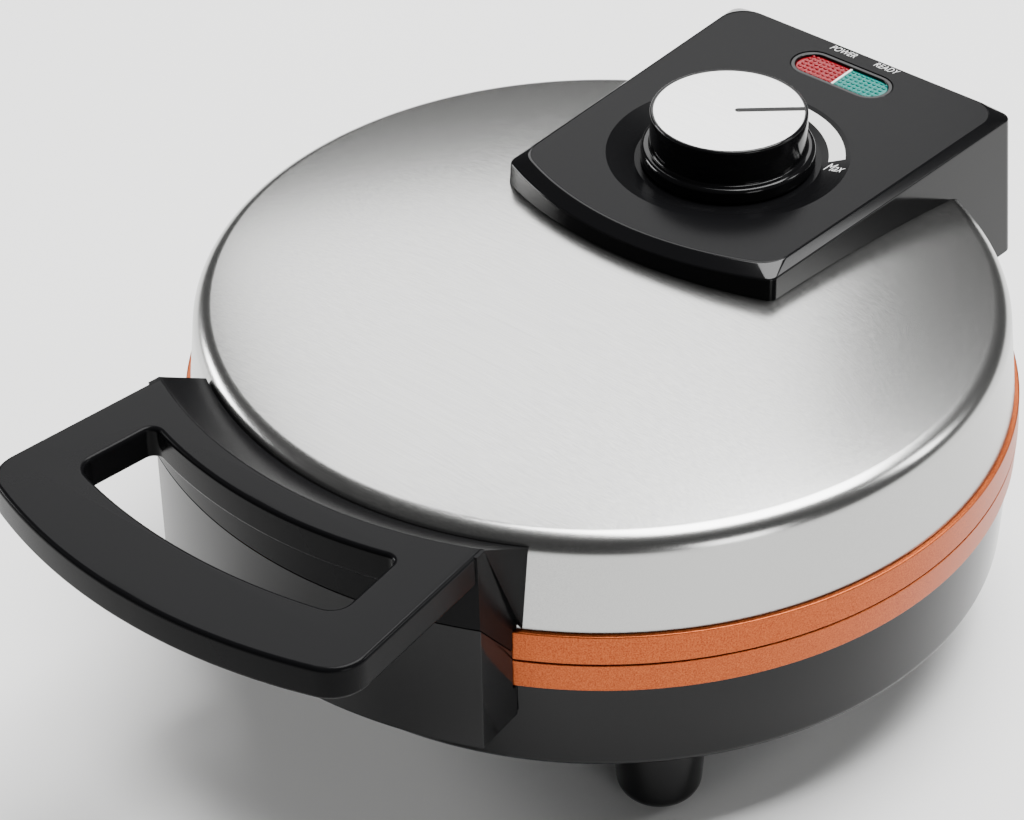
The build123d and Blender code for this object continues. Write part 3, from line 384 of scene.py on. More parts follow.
def lens_plastic(name, colour):
    """Tinted clear acrylic lens: saturated colour with light passing through."""
    finish, tree, shader = start_finish(
        name, colour, 0.12, IOR=1.49, Specular_IOR_Level=0.2,
        Subsurface_Weight=0.2, Subsurface_Scale=0.002,
    )
    tree.links.new(spread(tree, grain(tree, 2.0), 0.1, 0.18), shader.inputs["Roughness"])
    return finish


finishes = {
    # Gloss ABS, polished mould: mirror-like sheen on near-black
    "gloss_black_plastic": plastic(
        "gloss_black_abs", "#0B0B0C", 0.10, 0.12, 0.5, 0.0003, Specular_IOR_Level=0.17,
    ),
    # Satin ABS, finely textured mould: soft grey sheen
    "satin_black_plastic": plastic(
        "satin_black_abs", "#0B0B0C", 0.20, 0.24, 0.4, 0.0005, Specular_IOR_Level=0.045,
    ),
    # Stainless steel, brushed sheet: streaked pale metal
    "brushed_steel": brushed_metal(
        "brushed_stainless", "#A4A4A3", "#B6B6B4", 0.21, 0.25, 0.2, 80.0, 0.0002,
    ),
    # Ceramic non-stick coat on cast aluminium, sprayed: copper colour with a fine glint
    "copper_nonstick": copper_coat(),
    # Mild steel, machined: plain grey metal with fine lathe marks
    "plain_steel": brushed_metal("turned_steel", "#8E8E8C", "#B4B4B2", 0.25, 0.4, 0.3, 6.0, 0.004),
    # Aluminised steel, pressed: bright, slightly cloudy metal
    "bright_tray": brushed_metal("aluminised_steel", "#B9BABA", "#D5D6D6", 0.25, 0.45, 3.0, 9.0, 0.01),
    # Zinc-plated steel, tumbled: light grey metal
    "plated_steel": brushed_metal("zinc_plated_steel", "#A3A5A6", "#C6C8C9", 0.22, 0.36, 1.5, 3.0, 0.004),
    # Rubber, moulded: dull dark grey
    "foot_rubber": plastic("moulded_rubber", "#1A1A1A", 0.7, 0.85, 0.6, 0.02),
    # Clear acrylic, tinted and moulded: deep colour under a smooth face
    "red_lens": lens_plastic("red_acrylic", "#7A0C16"),
    "green_lens": lens_plastic("green_acrylic", "#036A63"),
    # Lamp glass, drawn: smooth and warm
    "lamp_glass": lens_plastic("neon_lamp_glass", "#D98A5A"),
    # Aluminium, brushed and clear-coated: even pale face
    "brushed_face": brushed_metal("brushed_aluminium", "#E0E0DF", "#EDEDEC", 0.3, 0.38, 0.25, 12.0, 0.001),
    # Screen-printed inks: flat, slightly dull
    "pale_ink": plastic("pale_print_ink", "#D9D9D8", 0.45, 0.55, 0.4, 0.002),
    "dark_ink": plastic(
        "dark_print_ink", "#060606", 0.35, 0.45, 0.4, 0.0005, Specular_IOR_Level=0.2,
    ),
}


def circle_point(r, angle):
    """Plan point at radius r and this angle in degrees."""
    return Vector((r * math.cos(math.radians(angle)), r * math.sin(math.radians(angle))))


def sweep(centre, radius, start, stop, steps):
    """Points round centre from the start direction to the stop direction, the short way."""
    first = math.atan2(start[1], start[0])
    turn = (math.atan2(stop[1], stop[0]) - first + math.pi) % (2 * math.pi) - math.pi
    angles = [first + turn * i / steps for i in range(steps + 1)]
    return [Vector((centre[0] + radius * math.cos(a), centre[1] + radius * math.sin(a))) for a in angles]


def rounded(corners):
    """Closed outline from corners (a, b) or (a, b, radius), each radius drawn as an arc."""
    points = []
    for i, corner in enumerate(corners):
        here = Vector(corner[:2])
        radius = corner[2] if len(corner) > 2 else 0.0
        if not radius:
            points.append(here)
            continue
        back = (Vector(corners[i - 1][:2]) - here).normalized()
        ahead = (Vector(corners[(i + 1) % len(corners)][:2]) - here).normalized()
        half = back.angle(ahead) / 2
        centre = here + (back + ahead).normalized() * (radius / math.sin(half))
        reach = radius / math.tan(half)
        first = here + back * reach - centre
        last = here + ahead * reach - centre
        points += sweep(centre, radius, first, last, ROUND_STEPS)
    return points


def round_centre(start, end, radius, hub, reach):
    """Centre of a corner round that lies radius inside the line from start to end and reach from hub."""
    along = (end - start).normalized()
    inside = Vector((along.y, -along.x))
    first = start + inside * radius - hub
    half = first.dot(along)
    travel = -half + math.sqrt(half * half - first.dot(first) + reach * reach)
    return hub + first + along * travel, -inside


def mirrored(half):
    """Closes a right half outline with its mirror image."""
    return half + [Vector((-p.x, p.y)) for p in reversed(half)]


def housing_outline(inset, corner, front_inset=0.0):
    """Plan outline of the control housing, drawn in by inset, with this corner round."""
    rear = Vector((housing_rear_x - inset, housing_reach - housing_flare - inset))
    front = Vector((housing_front_x - inset, housing_front_y + inset + front_inset))
    bow_r = (front.x ** 2 + housing_bow ** 2) / (2 * housing_bow)
    bow_centre = Vector((0.0, front.y - housing_bow + bow_r))
    front_hub, side = round_centre(rear, front, corner, bow_centre, bow_r - corner)
    along = (front - rear).normalized()
    rear_hub = front_hub + along * ((rear.y - corner - front_hub.y) / along.y)
    half = sweep(rear_hub, corner, (0, 1), side, CORNER_STEPS)
    half += sweep(front_hub, corner, side, front_hub - bow_centre, CORNER_STEPS)
    half += sweep(bow_centre, bow_r, front_hub - bow_centre, (0, -1), ARC_STEPS)[1:-1]
    return mirrored(half)


def handle_outline():
    """Plan outline of the handle's loop, from the crease to the front."""
    hub = Vector((0.0, handle_front_r - handle_reach))
    front_y = hub.y - math.sqrt(handle_front_r ** 2 - handle_front_x ** 2)
    rear_r = crease_r - handle_edge
    rear = Vector((crease_x, -crease_y))
    front = Vector((handle_front_x, front_y))
    corner, side = round_centre(rear, front, handle_corner, hub, handle_front_r - handle_corner)
    half = sweep((0, 0), rear_r, (0, -1), rear, CREASE_STEPS)[1:]
    half += sweep(corner, handle_corner, side, corner - hub, CORNER_STEPS)
    half += sweep(hub, handle_front_r, corner - hub, (0, -1), ARC_STEPS)[1:-1]
    return mirrored(half)


def slot_outline():
    """Plan outline of the finger slot in the handle."""
    hub = Vector((0.0, 0.0))
    rear = Vector((slot_rear_x, -math.sqrt(slot_rear_r ** 2 - slot_rear_x ** 2)))
    front = Vector((slot_front_x, -math.sqrt(slot_front_r ** 2 - slot_front_x ** 2)))
    inner_reach = slot_rear_r + slot_rear_corner
    outer_reach = slot_front_r - slot_front_corner
    front_corner, side = round_centre(rear, front, slot_front_corner, hub, outer_reach)
    rear_corner, side = round_centre(rear, front, slot_rear_corner, hub, inner_reach)
    half = sweep(hub, slot_rear_r, (0, -1), rear_corner, ARC_STEPS)[1:]
    half += sweep(rear_corner, slot_rear_corner, -rear_corner, side, SLOT_STEPS)
    half += sweep(front_corner, slot_front_corner, side, front_corner, SLOT_STEPS)
    half += sweep(hub, slot_front_r, front_corner, (0, -1), ARC_STEPS)[1:-1]
    return mirrored(half)


def pill_outline(length, width):
    """Plan outline of the indicator window."""
    middle = (length - width) / 2
    half = sweep((middle, window_y), width / 2, (0, 1), (1, 0), PILL_STEPS)
    half += sweep((middle, window_y), width / 2, (1, 0), (0, -1), PILL_STEPS)[1:]
    return mirrored(half)


def mesh_from(bm):
    """Closes seams, turns faces outwards and returns a plain mesh."""
    bmesh.ops.remove_doubles(bm, verts=bm.verts, dist=1e-7)
    bmesh.ops.dissolve_degenerate(bm, edges=bm.edges, dist=1e-8)
    bmesh.ops.recalc_face_normals(bm, faces=bm.faces)
    mesh = bpy.data.meshes.new("shape")
    bm.to_mesh(mesh)
    bm.free()
    return mesh


def turned(profile, centre=(0.0, 0.0), steps=SMOOTH_STEPS, start=0.0, arc=360.0):
    """Mesh of a closed r, z outline turned about an upright axis at centre."""
    bm = bmesh.new()
    count = steps if arc == 360.0 else steps + 1
    rings = []
    for i in range(count):
        a = math.radians(start + arc * i / steps)
        spots = [(centre[0] + p[0] * math.cos(a), centre[1] + p[0] * math.sin(a), p[1]) for p in profile]
        rings.append([bm.verts.new((x * MM, axis_y + y * MM, z * MM)) for x, y, z in spots])
    for i in range(steps):
        here = rings[i]
        after = rings[(i + 1) % count]
        for j in range(len(profile)):
            k = (j + 1) % len(profile)
            bm.faces.new((here[j], here[k], after[k], after[j]))
    if count > steps:
        bm.faces.new(rings[0])
        bm.faces.new(rings[-1])
    return mesh_from(bm)


def stacked(layers):
    """Mesh through outlines of equal length at given heights, closed at both ends."""
    bm = bmesh.new()
    rings = []
    for outline, z in layers:
        rings.append([bm.verts.new((p[0] * MM, axis_y + p[1] * MM, z * MM)) for p in outline])
    for low, high in zip(rings, rings[1:]):
        for j in range(len(low)):
            k = (j + 1) % len(low)
            bm.faces.new((low[j], low[k], high[k], high[j]))
    bm.faces.new(rings[0])
    bm.faces.new(rings[-1])
    return mesh_from(bm)


def prism(outline, low, high):
    """Mesh of one outline between two heights."""
    return stacked([(outline, low), (outline, high)])


def block(low, high):
    """Mesh of a box between two corners."""
    corners = [(low[0], low[1]), (high[0], low[1]), (high[0], high[1]), (low[0], high[1])]
    return prism(corners, low[2], high[2])


def take(thing):
    """Evaluated plain mesh of an object, which is then removed."""
    depsgraph = bpy.context.evaluated_depsgraph_get()
    mesh = bpy.data.meshes.new_from_object(thing.evaluated_get(depsgraph), depsgraph=depsgraph)
    bpy.data.objects.remove(thing)
    return mesh


def place(data, name="work"):
    """New object for some data, linked to the scene at the origin."""
    thing = bpy.data.objects.new(name, data)
    bpy.context.scene.collection.objects.link(thing)
    return thing


def slab(outlines, low, high, edge, segments=4):
    """Plate with rounded rims from an outline, with the other outlines as openings."""
    curve = bpy.data.curves.new("outline", "CURVE")
    curve.dimensions = "2D"
    curve.fill_mode = "BOTH"
    curve.extrude = ((high - low) / 2 - edge) * MM
    curve.bevel_depth = edge * MM
    curve.bevel_resolution = segments
    curve.offset = -edge * MM
    for outline in outlines:
        spline = curve.splines.new("POLY")
        spline.points.add(len(outline) - 1)
        for point, p in zip(spline.points, outline):
            point.co = (p[0] * MM, p[1] * MM, 0.0, 1.0)
        spline.use_cyclic_u = True
    mesh = take(place(curve))
    mesh.transform(Matrix.Translation((0.0, axis_y, (low + high) / 2 * MM)))
    bm = bmesh.new()
    bm.from_mesh(mesh)
    return mesh_from(bm)


def carved(mesh, cutters, operation="DIFFERENCE"):
    """Mesh after exact boolean operations with each cutter in turn."""
    thing = place(mesh)
    tools = [place(cutter, "tool") for cutter in cutters]
    for tool in tools:
        modifier = thing.modifiers.new("cut", "BOOLEAN")
        modifier.operation = operation
        modifier.solver = "EXACT"
        modifier.object = tool
    result = take(thing)
    for tool in tools:
        bpy.data.objects.remove(tool)
    return result


def softened(mesh, width, segments=2, limit=30.0):
    """Mesh with its sharp edges rounded by width millimetres."""
    thing = place(mesh)
    modifier = thing.modifiers.new("edge", "BEVEL")
    modifier.width = width * MM
    modifier.segments = segments
    modifier.limit_method = "ANGLE"
    modifier.angle_limit = math.radians(limit)
    return take(thing)


def joined(meshes):
    """One mesh of several closed ones."""
    bm = bmesh.new()
    for mesh in meshes:
        bm.from_mesh(mesh)
    mesh = bpy.data.meshes.new("shape")
    bm.to_mesh(mesh)
    bm.free()
    return mesh


def piece(name, mesh, body, finish, nodes, sharp=SHARP):
    """Puts a finished mesh on a body in place of CAD nodes, with smooth faces and crisp edges."""
    mesh.materials.clear()
    mesh.materials.append(finishes[finish])
    mesh.polygons.foreach_set("material_index", [0] * len(mesh.polygons))
    mesh.shade_smooth()
    mesh.set_sharp_from_angle(angle=math.radians(sharp))
    thing = place(mesh)
    modifier = thing.modifiers.new("normals", "WEIGHTED_NORMAL")
    modifier.keep_sharp = True
    shape = take(thing)
    shape.name = name
    thing = place(shape, name)
    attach(thing, body)
    if nodes:
        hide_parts(*nodes)
    return thing


def screw_spots():
    """Plan points of the four plate screws."""
    return [circle_point(screw_ring_r, screw_start + 90.0 * i) for i in range(4)]


def base_piece():
    """Drafted round base with its floor, open middle and screw posts."""
    top_z = lower_rim_z - base_gap
    floor_z = base_bottom_z + wall
    profile = rounded([
        (base_opening_r, base_bottom_z),
        (base_bottom_r, base_bottom_z, base_edge_round),
        (base_top_r, top_z, base_top_round),
        (base_top_r - wall, top_z),
        (base_bottom_r - wall, floor_z),
        (base_opening_r, floor_z),
    ])
    post = [
        (bore_r, floor_z - overlap), (post_r, floor_z - overlap),
        (post_r, tray_flange_z), (bore_r, tray_flange_z),
    ]
    posts = [turned(post, spot, BOSS_STEPS) for spot in screw_spots()]
    body = joined([turned(profile)] + posts)
    piece("black_base", body, "base", "gloss_black_plastic", ["base_shell"])


def feet_pieces():
    """Four tapered feet with rounded lower edges, and their soft pads."""
    top_z = base_bottom_z - hairline
    side_r = pad_r - hairline
    profile = rounded([
        (pad_r, pad_height), (pad_r, foot_edge_z),
        (foot_bottom_r, foot_edge_z, foot_round - foot_edge_z),
        (foot_top_r, top_z), (0.0, top_z), (0.0, pad_height),
    ])
    pad = rounded([(0.0, 0.0), (side_r, 0.0, pad_round), (side_r, pad_height), (0.0, pad_height)])
    spots = [(x, y) for x in (-foot_x, foot_x) for y in (-foot_y, foot_y)]
    feet = [turned(profile, spot, FOOT_STEPS) for spot in spots]
    pads = [turned(pad, spot, PAD_STEPS) for spot in spots]
    piece("black_feet", joined(feet), "base", "gloss_black_plastic", ["feet"])
    piece("soft_pads", joined(pads), "base", "foot_rubber", ["foot_pads"])


def start_tree(name, inputs):
    """New Geometry Nodes tree with these inputs by name and kind, a finish, and a shape as output."""
    tree = bpy.data.node_groups.new(name, "GeometryNodeTree")
    tree.is_modifier = True
    for label, kind in inputs.items():
        tree.interface.new_socket(label, in_out="INPUT", socket_type=kind)
    tree.interface.new_socket("Finish", in_out="INPUT", socket_type="NodeSocketMaterial")
    tree.interface.new_socket("Geometry", in_out="OUTPUT", socket_type="NodeSocketGeometry")
    return tree, add_node(tree, "NodeGroupInput").outputs


def end_tree(tree, points, shape, finish, **turns):
    """Ends a tree: the shape stands on every point, is made real and gets the finish."""
    inputs = {"Points": points, "Instance": shape, **turns}
    set_out = add_node(tree, "GeometryNodeInstanceOnPoints", inputs)
    real = add_node(tree, "GeometryNodeRealizeInstances", {"Geometry": set_out.outputs["Instances"]})
    inputs = {"Geometry": real.outputs["Geometry"], "Material": finish}
    coated = add_node(tree, "GeometryNodeSetMaterial", inputs)
    add_node(tree, "NodeGroupOutput", {"Geometry": coated.outputs["Geometry"]})


def grow(tree, values, finish):
    """Runs a Geometry Nodes tree on an empty mesh and returns the plain mesh it makes."""
    thing = place(bpy.data.meshes.new("seed"))
    modifier = thing.modifiers.new("grow", "NODES")
    modifier.node_group = tree
    given = {**values, "Finish": finish}
    for item in tree.interface.items_tree:
        if item.in_out == "INPUT":
            modifier[item.identifier] = given[item.name]
    mesh = take(thing)
    mesh.materials.clear()
    mesh.materials.append(finish)
    return mesh


def stud_tree():
    """Geometry Nodes tree: square tapered studs on a grid, kept inside a round field."""
    tree, given = start_tree("stud_field", {
        "Rows": "NodeSocketInt", "Pitch": "NodeSocketFloat", "Foot": "NodeSocketFloat",
        "Tip": "NodeSocketFloat", "Height": "NodeSocketFloat", "Field": "NodeSocketFloat",
    })

    def maths(first, second, operation):
        """Output of one sum of two values."""
        return add_node(tree, "ShaderNodeMath", {0: first, 1: second}, operation=operation).outputs[0]

    def vector_maths(operation, output, *vectors):
        """Output of one sum of vectors."""
        inputs = dict(enumerate(vectors))
        return add_node(tree, "ShaderNodeVectorMath", inputs, operation=operation).outputs[output]

    gaps = maths(given["Rows"], 1.0, "SUBTRACT")
    span = maths(gaps, given["Pitch"], "MULTIPLY")
    grid = add_node(tree, "GeometryNodeMeshGrid", {
        "Size X": span, "Size Y": span, "Vertices X": given["Rows"], "Vertices Y": given["Rows"],
    })
    spot = add_node(tree, "GeometryNodeInputPosition")
    far = vector_maths("ABSOLUTE", 0, spot.outputs[0])
    half = maths(given["Foot"], 0.5, "MULTIPLY")
    edge = add_node(tree, "ShaderNodeCombineXYZ", {"X": half, "Y": half})
    corner = vector_maths("ADD", 0, far, edge.outputs[0])
    reach = vector_maths("LENGTH", "Value", corner)
    inputs = {0: reach, 1: given["Field"]}
    outside = add_node(tree, "FunctionNodeCompare", inputs, data_type="FLOAT", operation="GREATER_THAN")
    inputs = {"Geometry": grid.outputs["Mesh"], "Selection": outside.outputs[0]}
    kept = add_node(tree, "GeometryNodeDeleteGeometry", inputs, domain="POINT")
    stud = add_node(tree, "GeometryNodeMeshCone", {
        "Vertices": 4, "Depth": given["Height"],
        "Radius Top": maths(given["Tip"], math.sqrt(0.5), "MULTIPLY"),
        "Radius Bottom": maths(given["Foot"], math.sqrt(0.5), "MULTIPLY"),
    }, fill_type="NGON")
    square_on = (0.0, 0.0, math.radians(45.0))
    end_tree(tree, kept.outputs["Geometry"], stud.outputs["Mesh"], given["Finish"], Rotation=square_on)
    return tree


def bead_tree():
    """Geometry Nodes tree: rows of low oval beads on a rectangle."""
    tree, given = start_tree("bead_rows", {
        "Length": "NodeSocketFloat", "Width": "NodeSocketFloat",
        "Columns": "NodeSocketInt", "Rows": "NodeSocketInt", "Bead": "NodeSocketFloat",
    })
    grid = add_node(tree, "GeometryNodeMeshGrid", {
        "Size X": given["Length"], "Size Y": given["Width"],
        "Vertices X": given["Columns"], "Vertices Y": given["Rows"],
    })
    inputs = {"Segments": 8, "Rings": 5, "Radius": given["Bead"]}
    bead = add_node(tree, "GeometryNodeMeshUVSphere", inputs)
    low_oval = (1.0, 0.8, 0.5)
    end_tree(tree, grid.outputs["Mesh"], bead.outputs["Mesh"], given["Finish"], Scale=low_oval)
    return tree


def divider(length, width):
    """Mesh of one bar of the cross between the studs, with soft edges."""
    pocket_z = plate_top_z - pocket_depth
    low = (-length / 2, -width / 2, pocket_z - sunk)
    high = (length / 2, width / 2, pocket_z + divider_height)
    return softened(block(low, high), divider_edge)


def stud_mesh():
    """Mesh of all the studs in the pocket of the lower plate."""
    tip = peg_size - 2 * peg_height * math.tan(math.radians(peg_taper))
    studs = grow(stud_tree(), {
        "Rows": peg_rows, "Pitch": peg_pitch * MM, "Foot": peg_size * MM, "Tip": tip * MM,
        "Height": (peg_height + sunk) * MM, "Field": peg_field_r * MM,
    }, finishes["copper_nonstick"])
    studs = softened(studs, peg_edge)
    foot_z = plate_top_z - pocket_depth - sunk
    studs.transform(Matrix.Translation((0.0, axis_y, foot_z * MM)))
    return studs


def plate_mesh():
    """Lower plate: rim band, pocket with studs and cross dividers, screw bosses."""
    pocket_z = plate_top_z - pocket_depth
    skin_z = pocket_z - plate_wall
    flange_z = plate_top_z - flange_thickness
    profile = rounded([
        (0.0, pocket_z), (pocket_r, pocket_z, pocket_round), (pocket_r, plate_top_z, land_round),
        (plate_rim_r, plate_top_z, plate_top_round), (plate_edge_r, lower_rim_z, plate_edge_round),
        (plate_rim_r - rim_width, lower_rim_z), (plate_rim_r - rim_width, flange_z),
        (pocket_r + plate_wall, flange_z), (pocket_r + plate_wall, skin_z, skin_round),
        (0.0, skin_z),
    ])
    length = 2 * (pocket_r - divider_inset)
    bars = [divider(length, divider_width), divider(divider_width, length)]
    boss_z = plate_top_z - boss_drop
    boss = [(bore_r, lower_rim_z), (boss_r, lower_rim_z), (boss_r, boss_z), (bore_r, boss_z)]
    bosses = [turned(boss, spot, BOSS_STEPS) for spot in screw_spots()]
    return joined([turned(profile), stud_mesh()] + bars + bosses)


def plate_pieces():
    """Both waffle plates: the upper one is the lower turned over about the seam."""
    lower = plate_mesh()
    upper = lower.copy()
    flip = Matrix.Diagonal((1.0, 1.0, -1.0, 1.0))
    upper.transform(Matrix.Translation((0.0, 0.0, 2 * seam_z * MM)) @ flip)
    upper.flip_normals()
    piece("copper_lower_plate", lower, "base", "copper_nonstick", ["lower_plate"])
    piece("copper_upper_plate", upper, "lid", "copper_nonstick", ["upper_plate"])


def skirt_r(z):
    """Outer radius of the lid's skirt at height z."""
    return lid_r + lid_draft * (lid_edge_z - z) / (lid_edge_z - lid_lower_z)


def lid_profile(grow_by, low):
    """Outline of the lid's outer form, grown by this much, from the axis out: dome, edge and skirt."""
    rise = lid_top_z - lid_edge_z
    dome_r = (lid_r ** 2 + rise ** 2) / (2 * rise)
    hub = Vector((0.0, lid_top_z - dome_r))
    foot = Vector((skirt_r(low) + grow_by, low))
    top = Vector((lid_r + grow_by, lid_edge_z))
    radius = lid_edge_round + grow_by
    reach = dome_r + grow_by
    centre, inward = round_centre(foot, top, -radius, hub, reach - radius)
    lean = math.atan2(centre.x - hub.x, centre.y - hub.y)
    leans = [lean * i / ARC_STEPS for i in range(ARC_STEPS)]
    dome = [hub + reach * Vector((math.sin(a), math.cos(a))) for a in leans]
    return dome + sweep(centre, radius, centre - hub, -inward, CORNER_STEPS) + [foot]


def lid_piece():
    """Drawn steel lid with a window under the control housing."""
    outer = lid_profile(0.0, lid_lower_z)
    inner = lid_profile(-sheet, lid_lower_z)
    shell = turned(outer + list(reversed(inner)), steps=LID_STEPS)
    low = (-opening_half, opening_front, opening_low_z)
    high = (opening_half, opening_back, opening_high_z)
    opening = block(low, high)
    piece("steel_lid", carved(shell, [opening]), "lid", "brushed_steel", ["lid_shell"])


def side_prism(outline, half):
    """Mesh of a y, z outline that runs across the model from -half to half."""
    mesh = prism(outline, -half, half)
    down = Matrix(((0, 0, 1, 0), (1, 0, 0, axis_y), (0, 1, 0, 0), (0, 0, 0, 1)))
    mesh.transform(down @ Matrix.Translation((0.0, -axis_y, 0.0)))
    return mesh


def between_sides(rear_shift):
    """Tall mesh between the side faces of handle and apron, moved out by rear_shift at its back."""
    far = handle_reach
    near = ear_y - 2 * wall
    half = [
        Vector((crease_x + side_slope * (far - crease_y), -far)), Vector((crease_x, -crease_y)),
        Vector((crease_x - side_slope * (crease_y - near) + rear_shift, -near)),
    ]
    return prism(mirrored(half), apron_bottom_z - past, handle_top_z + past)


def apron_ring(profile, half_angle):
    """Mesh of an r, z outline turned round the front, half_angle to each side."""
    return turned(profile, steps=APRON_STEPS, start=-90 - half_angle, arc=2 * half_angle)


def handle_piece():
    """Handle loop, cove, upper apron and ears as one moulding."""
    loop_z = handle_top_z - handle_thickness
    loop = slab([handle_outline(), slot_outline()], loop_z, handle_top_z, handle_edge)
    low_r = lid_low_r + face_gap
    cove_r = skirt_r(cove_z) + face_gap
    brow_z = handle_top_z - crease_sink
    apron = apron_ring([
        (cove_r, cove_z), (crease_r - crease_step, brow_z), (apron_r + brow_proud, brow_z),
        (apron_r, parting_front_z),
        (clear_r, parting_rear_z), (clear_r, lid_lower_z), (low_r, lid_lower_z),
    ], apron_half_angle)
    beside = carved(side_prism([
        (-crease_y, handle_top_z), (-ear_y, lid_lower_z), (-ear_y, parting_rear_z - past),
        (-handle_reach, parting_rear_z - past), (-handle_reach, handle_top_z),
    ], 2 * handle_front_x), [between_sides(0.0)])
    apron = carved(apron, [between_sides(ear_proud * ear_lean)], "INTERSECT")
    apron = softened(carved(apron, [beside]), apron_edge)
    hollow = apron_ring([
        (low_r + wall, cove_z - wall / 2), (apron_r - wall, loop_z + wall),
        (apron_r - wall, parting_front_z - 2 * wall), (clear_r + wall, parting_rear_z - wall),
        (clear_r + wall, lid_lower_z + wall), (low_r + wall, lid_lower_z + wall),
    ], hollow_half_angle)
    body = carved(carved(loop, [apron], "UNION"), [hollow])
    piece("black_handle", body, "lid", "satin_black_plastic", ["handle"], HANDLE_SHARP)


def apron_piece():
    """Front apron on the base, open at the top."""
    inner_r = base_top_r + base_gap
    top_z = lower_rim_z - face_gap
    floor_z = apron_bottom_z + wall
    apron = apron_ring([
        (inner_r, apron_bottom_z), (apron_r, apron_bottom_z), (apron_r, parting_front_z - face_gap),
        (clear_r, parting_rear_z - face_gap), (clear_r, top_z), (inner_r, top_z),
    ], apron_half_angle)
    apron = softened(carved(apron, [between_sides(0.0)], "INTERSECT"), lower_apron_edge, 3)
    hollow = apron_ring([
        (inner_r + wall, floor_z), (apron_r - wall, floor_z), (apron_r - wall, parting_front_z),
        (clear_r - wall, parting_rear_z), (clear_r - wall, top_z), (inner_r + wall, top_z),
    ], hollow_half_angle)
    piece("black_apron", carved(apron, [hollow]), "base", "gloss_black_plastic", ["front_apron"])


def recess_cone(floor_r, top_r, floor_z, top_z):
    """Mesh of the cone over the recess round the knob."""
    outline = [(0.0, floor_z), (floor_r, floor_z), (top_r, top_z), (0.0, top_z)]
    return turned(outline, (0.0, knob_y), RECESS_STEPS)


def housing_piece():
    """Control housing with its bevelled roof, standing on the dome, hollow inside."""
    shell = softened(stacked([
        (housing_outline(-housing_flare, housing_corner), housing_rear_z),
        (housing_outline(0.0, housing_corner), housing_top_z - housing_bevel),
        (housing_outline(housing_bevel, panel_corner, housing_front_slope), housing_top_z),
    ]), housing_edge, 3, housing_edge_limit)
    low_z = housing_rear_z - past
    cavity = prism(housing_outline(wall, housing_corner), low_z, housing_top_z - roof)
    dome_low = lid_lower_z - 2 * dome_gap
    dome = [(0.0, dome_low)] + lid_profile(dome_gap, dome_low)[::-1]
    lid_solid = turned(dome, steps=LID_STEPS)
    under = turned([(0.0, low_z), (clear_r, low_z), (clear_r, lid_lower_z), (0.0, lid_lower_z)])
    seat = housing_outline(panel_inset, panel_corner, housing_front_slope)
    pocket = prism(seat, housing_top_z - panel_thickness, housing_top_z + past)
    recess = recess_cone(
        recess_floor_r - recess_inset, recess_r + recess_slope,
        housing_top_z - recess_depth, housing_top_z + past,
    )
    window = prism(pill_outline(window_length, window_width), window_low_z, window_high_z)
    shell = carved(shell, [cavity, lid_solid, under, pocket, recess, window])
    piece("black_housing", shell, "lid", "gloss_black_plastic", ["control_housing"])


def panel_piece():
    """Satin panel set in the roof, with the lining of the recess round the knob."""
    outer = housing_outline(panel_inset + hairline, panel_corner, housing_front_slope)
    window = pill_outline(window_length, window_width)
    low_z = housing_top_z - panel_thickness
    panel = slab([outer, window], low_z, housing_top_z, panel_edge, 2)
    hole = recess_cone(
        recess_r - recess_slope * hole_depth, recess_r + recess_slope,
        housing_top_z - hole_depth, housing_top_z + past,
    )
    panel = carved(panel, [hole])
    floor_z = housing_top_z - recess_depth
    top_z = slope_z(lining_outer_r)
    lining = turned([
        (lining_inner_r, floor_z + lining_lift), (recess_floor_r, floor_z + lining_lift),
        (lining_outer_r, top_z + lining_lift), (lining_outer_r, top_z - lining_depth),
        (recess_floor_r, floor_z - lining_depth), (lining_inner_r, floor_z - lining_depth),
    ], (0.0, knob_y), RECESS_STEPS)
    body = joined([panel, lining])
    piece("satin_panel", body, "lid", "satin_black_plastic", ["control_panel"], PANEL_SHARP)


def lens_piece(name, node, finish, side, tree):
    """One tinted half lens in the pill window, with rows of beads; side is -1 or 1 along X."""
    top_z = housing_top_z - lens_drop
    length = window_length - 2 * window_rim
    width = window_width - 2 * window_rim
    whole = slab([pill_outline(length, width)], housing_top_z - roof - past, top_z, lens_edge)
    near = -side * lens_split / 2
    far = -side * window_length
    low = (min(near, far), window_y - window_width, glass_low_z)
    high = (max(near, far), window_y + window_width, window_high_z)
    glass = carved(whole, [block(low, high)])
    run = length / 2 - bead_end
    beads = grow(tree, {
        "Length": run * MM, "Width": (width - bead_side) * MM,
        "Columns": bead_columns, "Rows": bead_rows, "Bead": bead_r * MM,
    }, finishes[finish])
    middle = side * (run / 2 + bead_start)
    beads.transform(Matrix.Translation((middle * MM, axis_y + window_y * MM, top_z * MM)))
    piece(name, joined([glass, beads]), "lid", finish, [node], LENS_SHARP)


def lens_pieces():
    """Red and green half lenses."""
    tree = bead_tree()
    lens_piece("red_window", "power_lens", "red_lens", -1, tree)
    lens_piece("green_window", "ready_lens", "green_lens", 1, tree)


def window_trim_pieces():
    """Black rim round the two lenses and the pale line between them."""
    outer = pill_outline(window_length - 2 * hairline, window_width - 2 * hairline)
    lens_length = window_length - 2 * window_rim
    lens_width = window_width - 2 * window_rim
    inner = pill_outline(lens_length + 2 * hairline, lens_width + 2 * hairline)
    ring = prism(outer, housing_top_z - roof, housing_top_z - window_drop)
    ring = carved(ring, [prism(inner, window_low_z, window_high_z)])
    piece("window_frame", softened(ring, window_edge, 3), "lid", "gloss_black_plastic", [])
    top_z = housing_top_z - lens_drop
    half = lens_width / 2 - line_inset
    low = (-line_width / 2, window_y - half, top_z - past)
    high = (line_width / 2, window_y + half, top_z + line_lift)
    piece("window_line", block(low, high), "lid", "pale_ink", [])


def slope_z(r):
    """Height of the recess slope at radius r from the knob's axis."""
    return housing_top_z - recess_depth * (recess_r - r) / (recess_r - recess_floor_r)


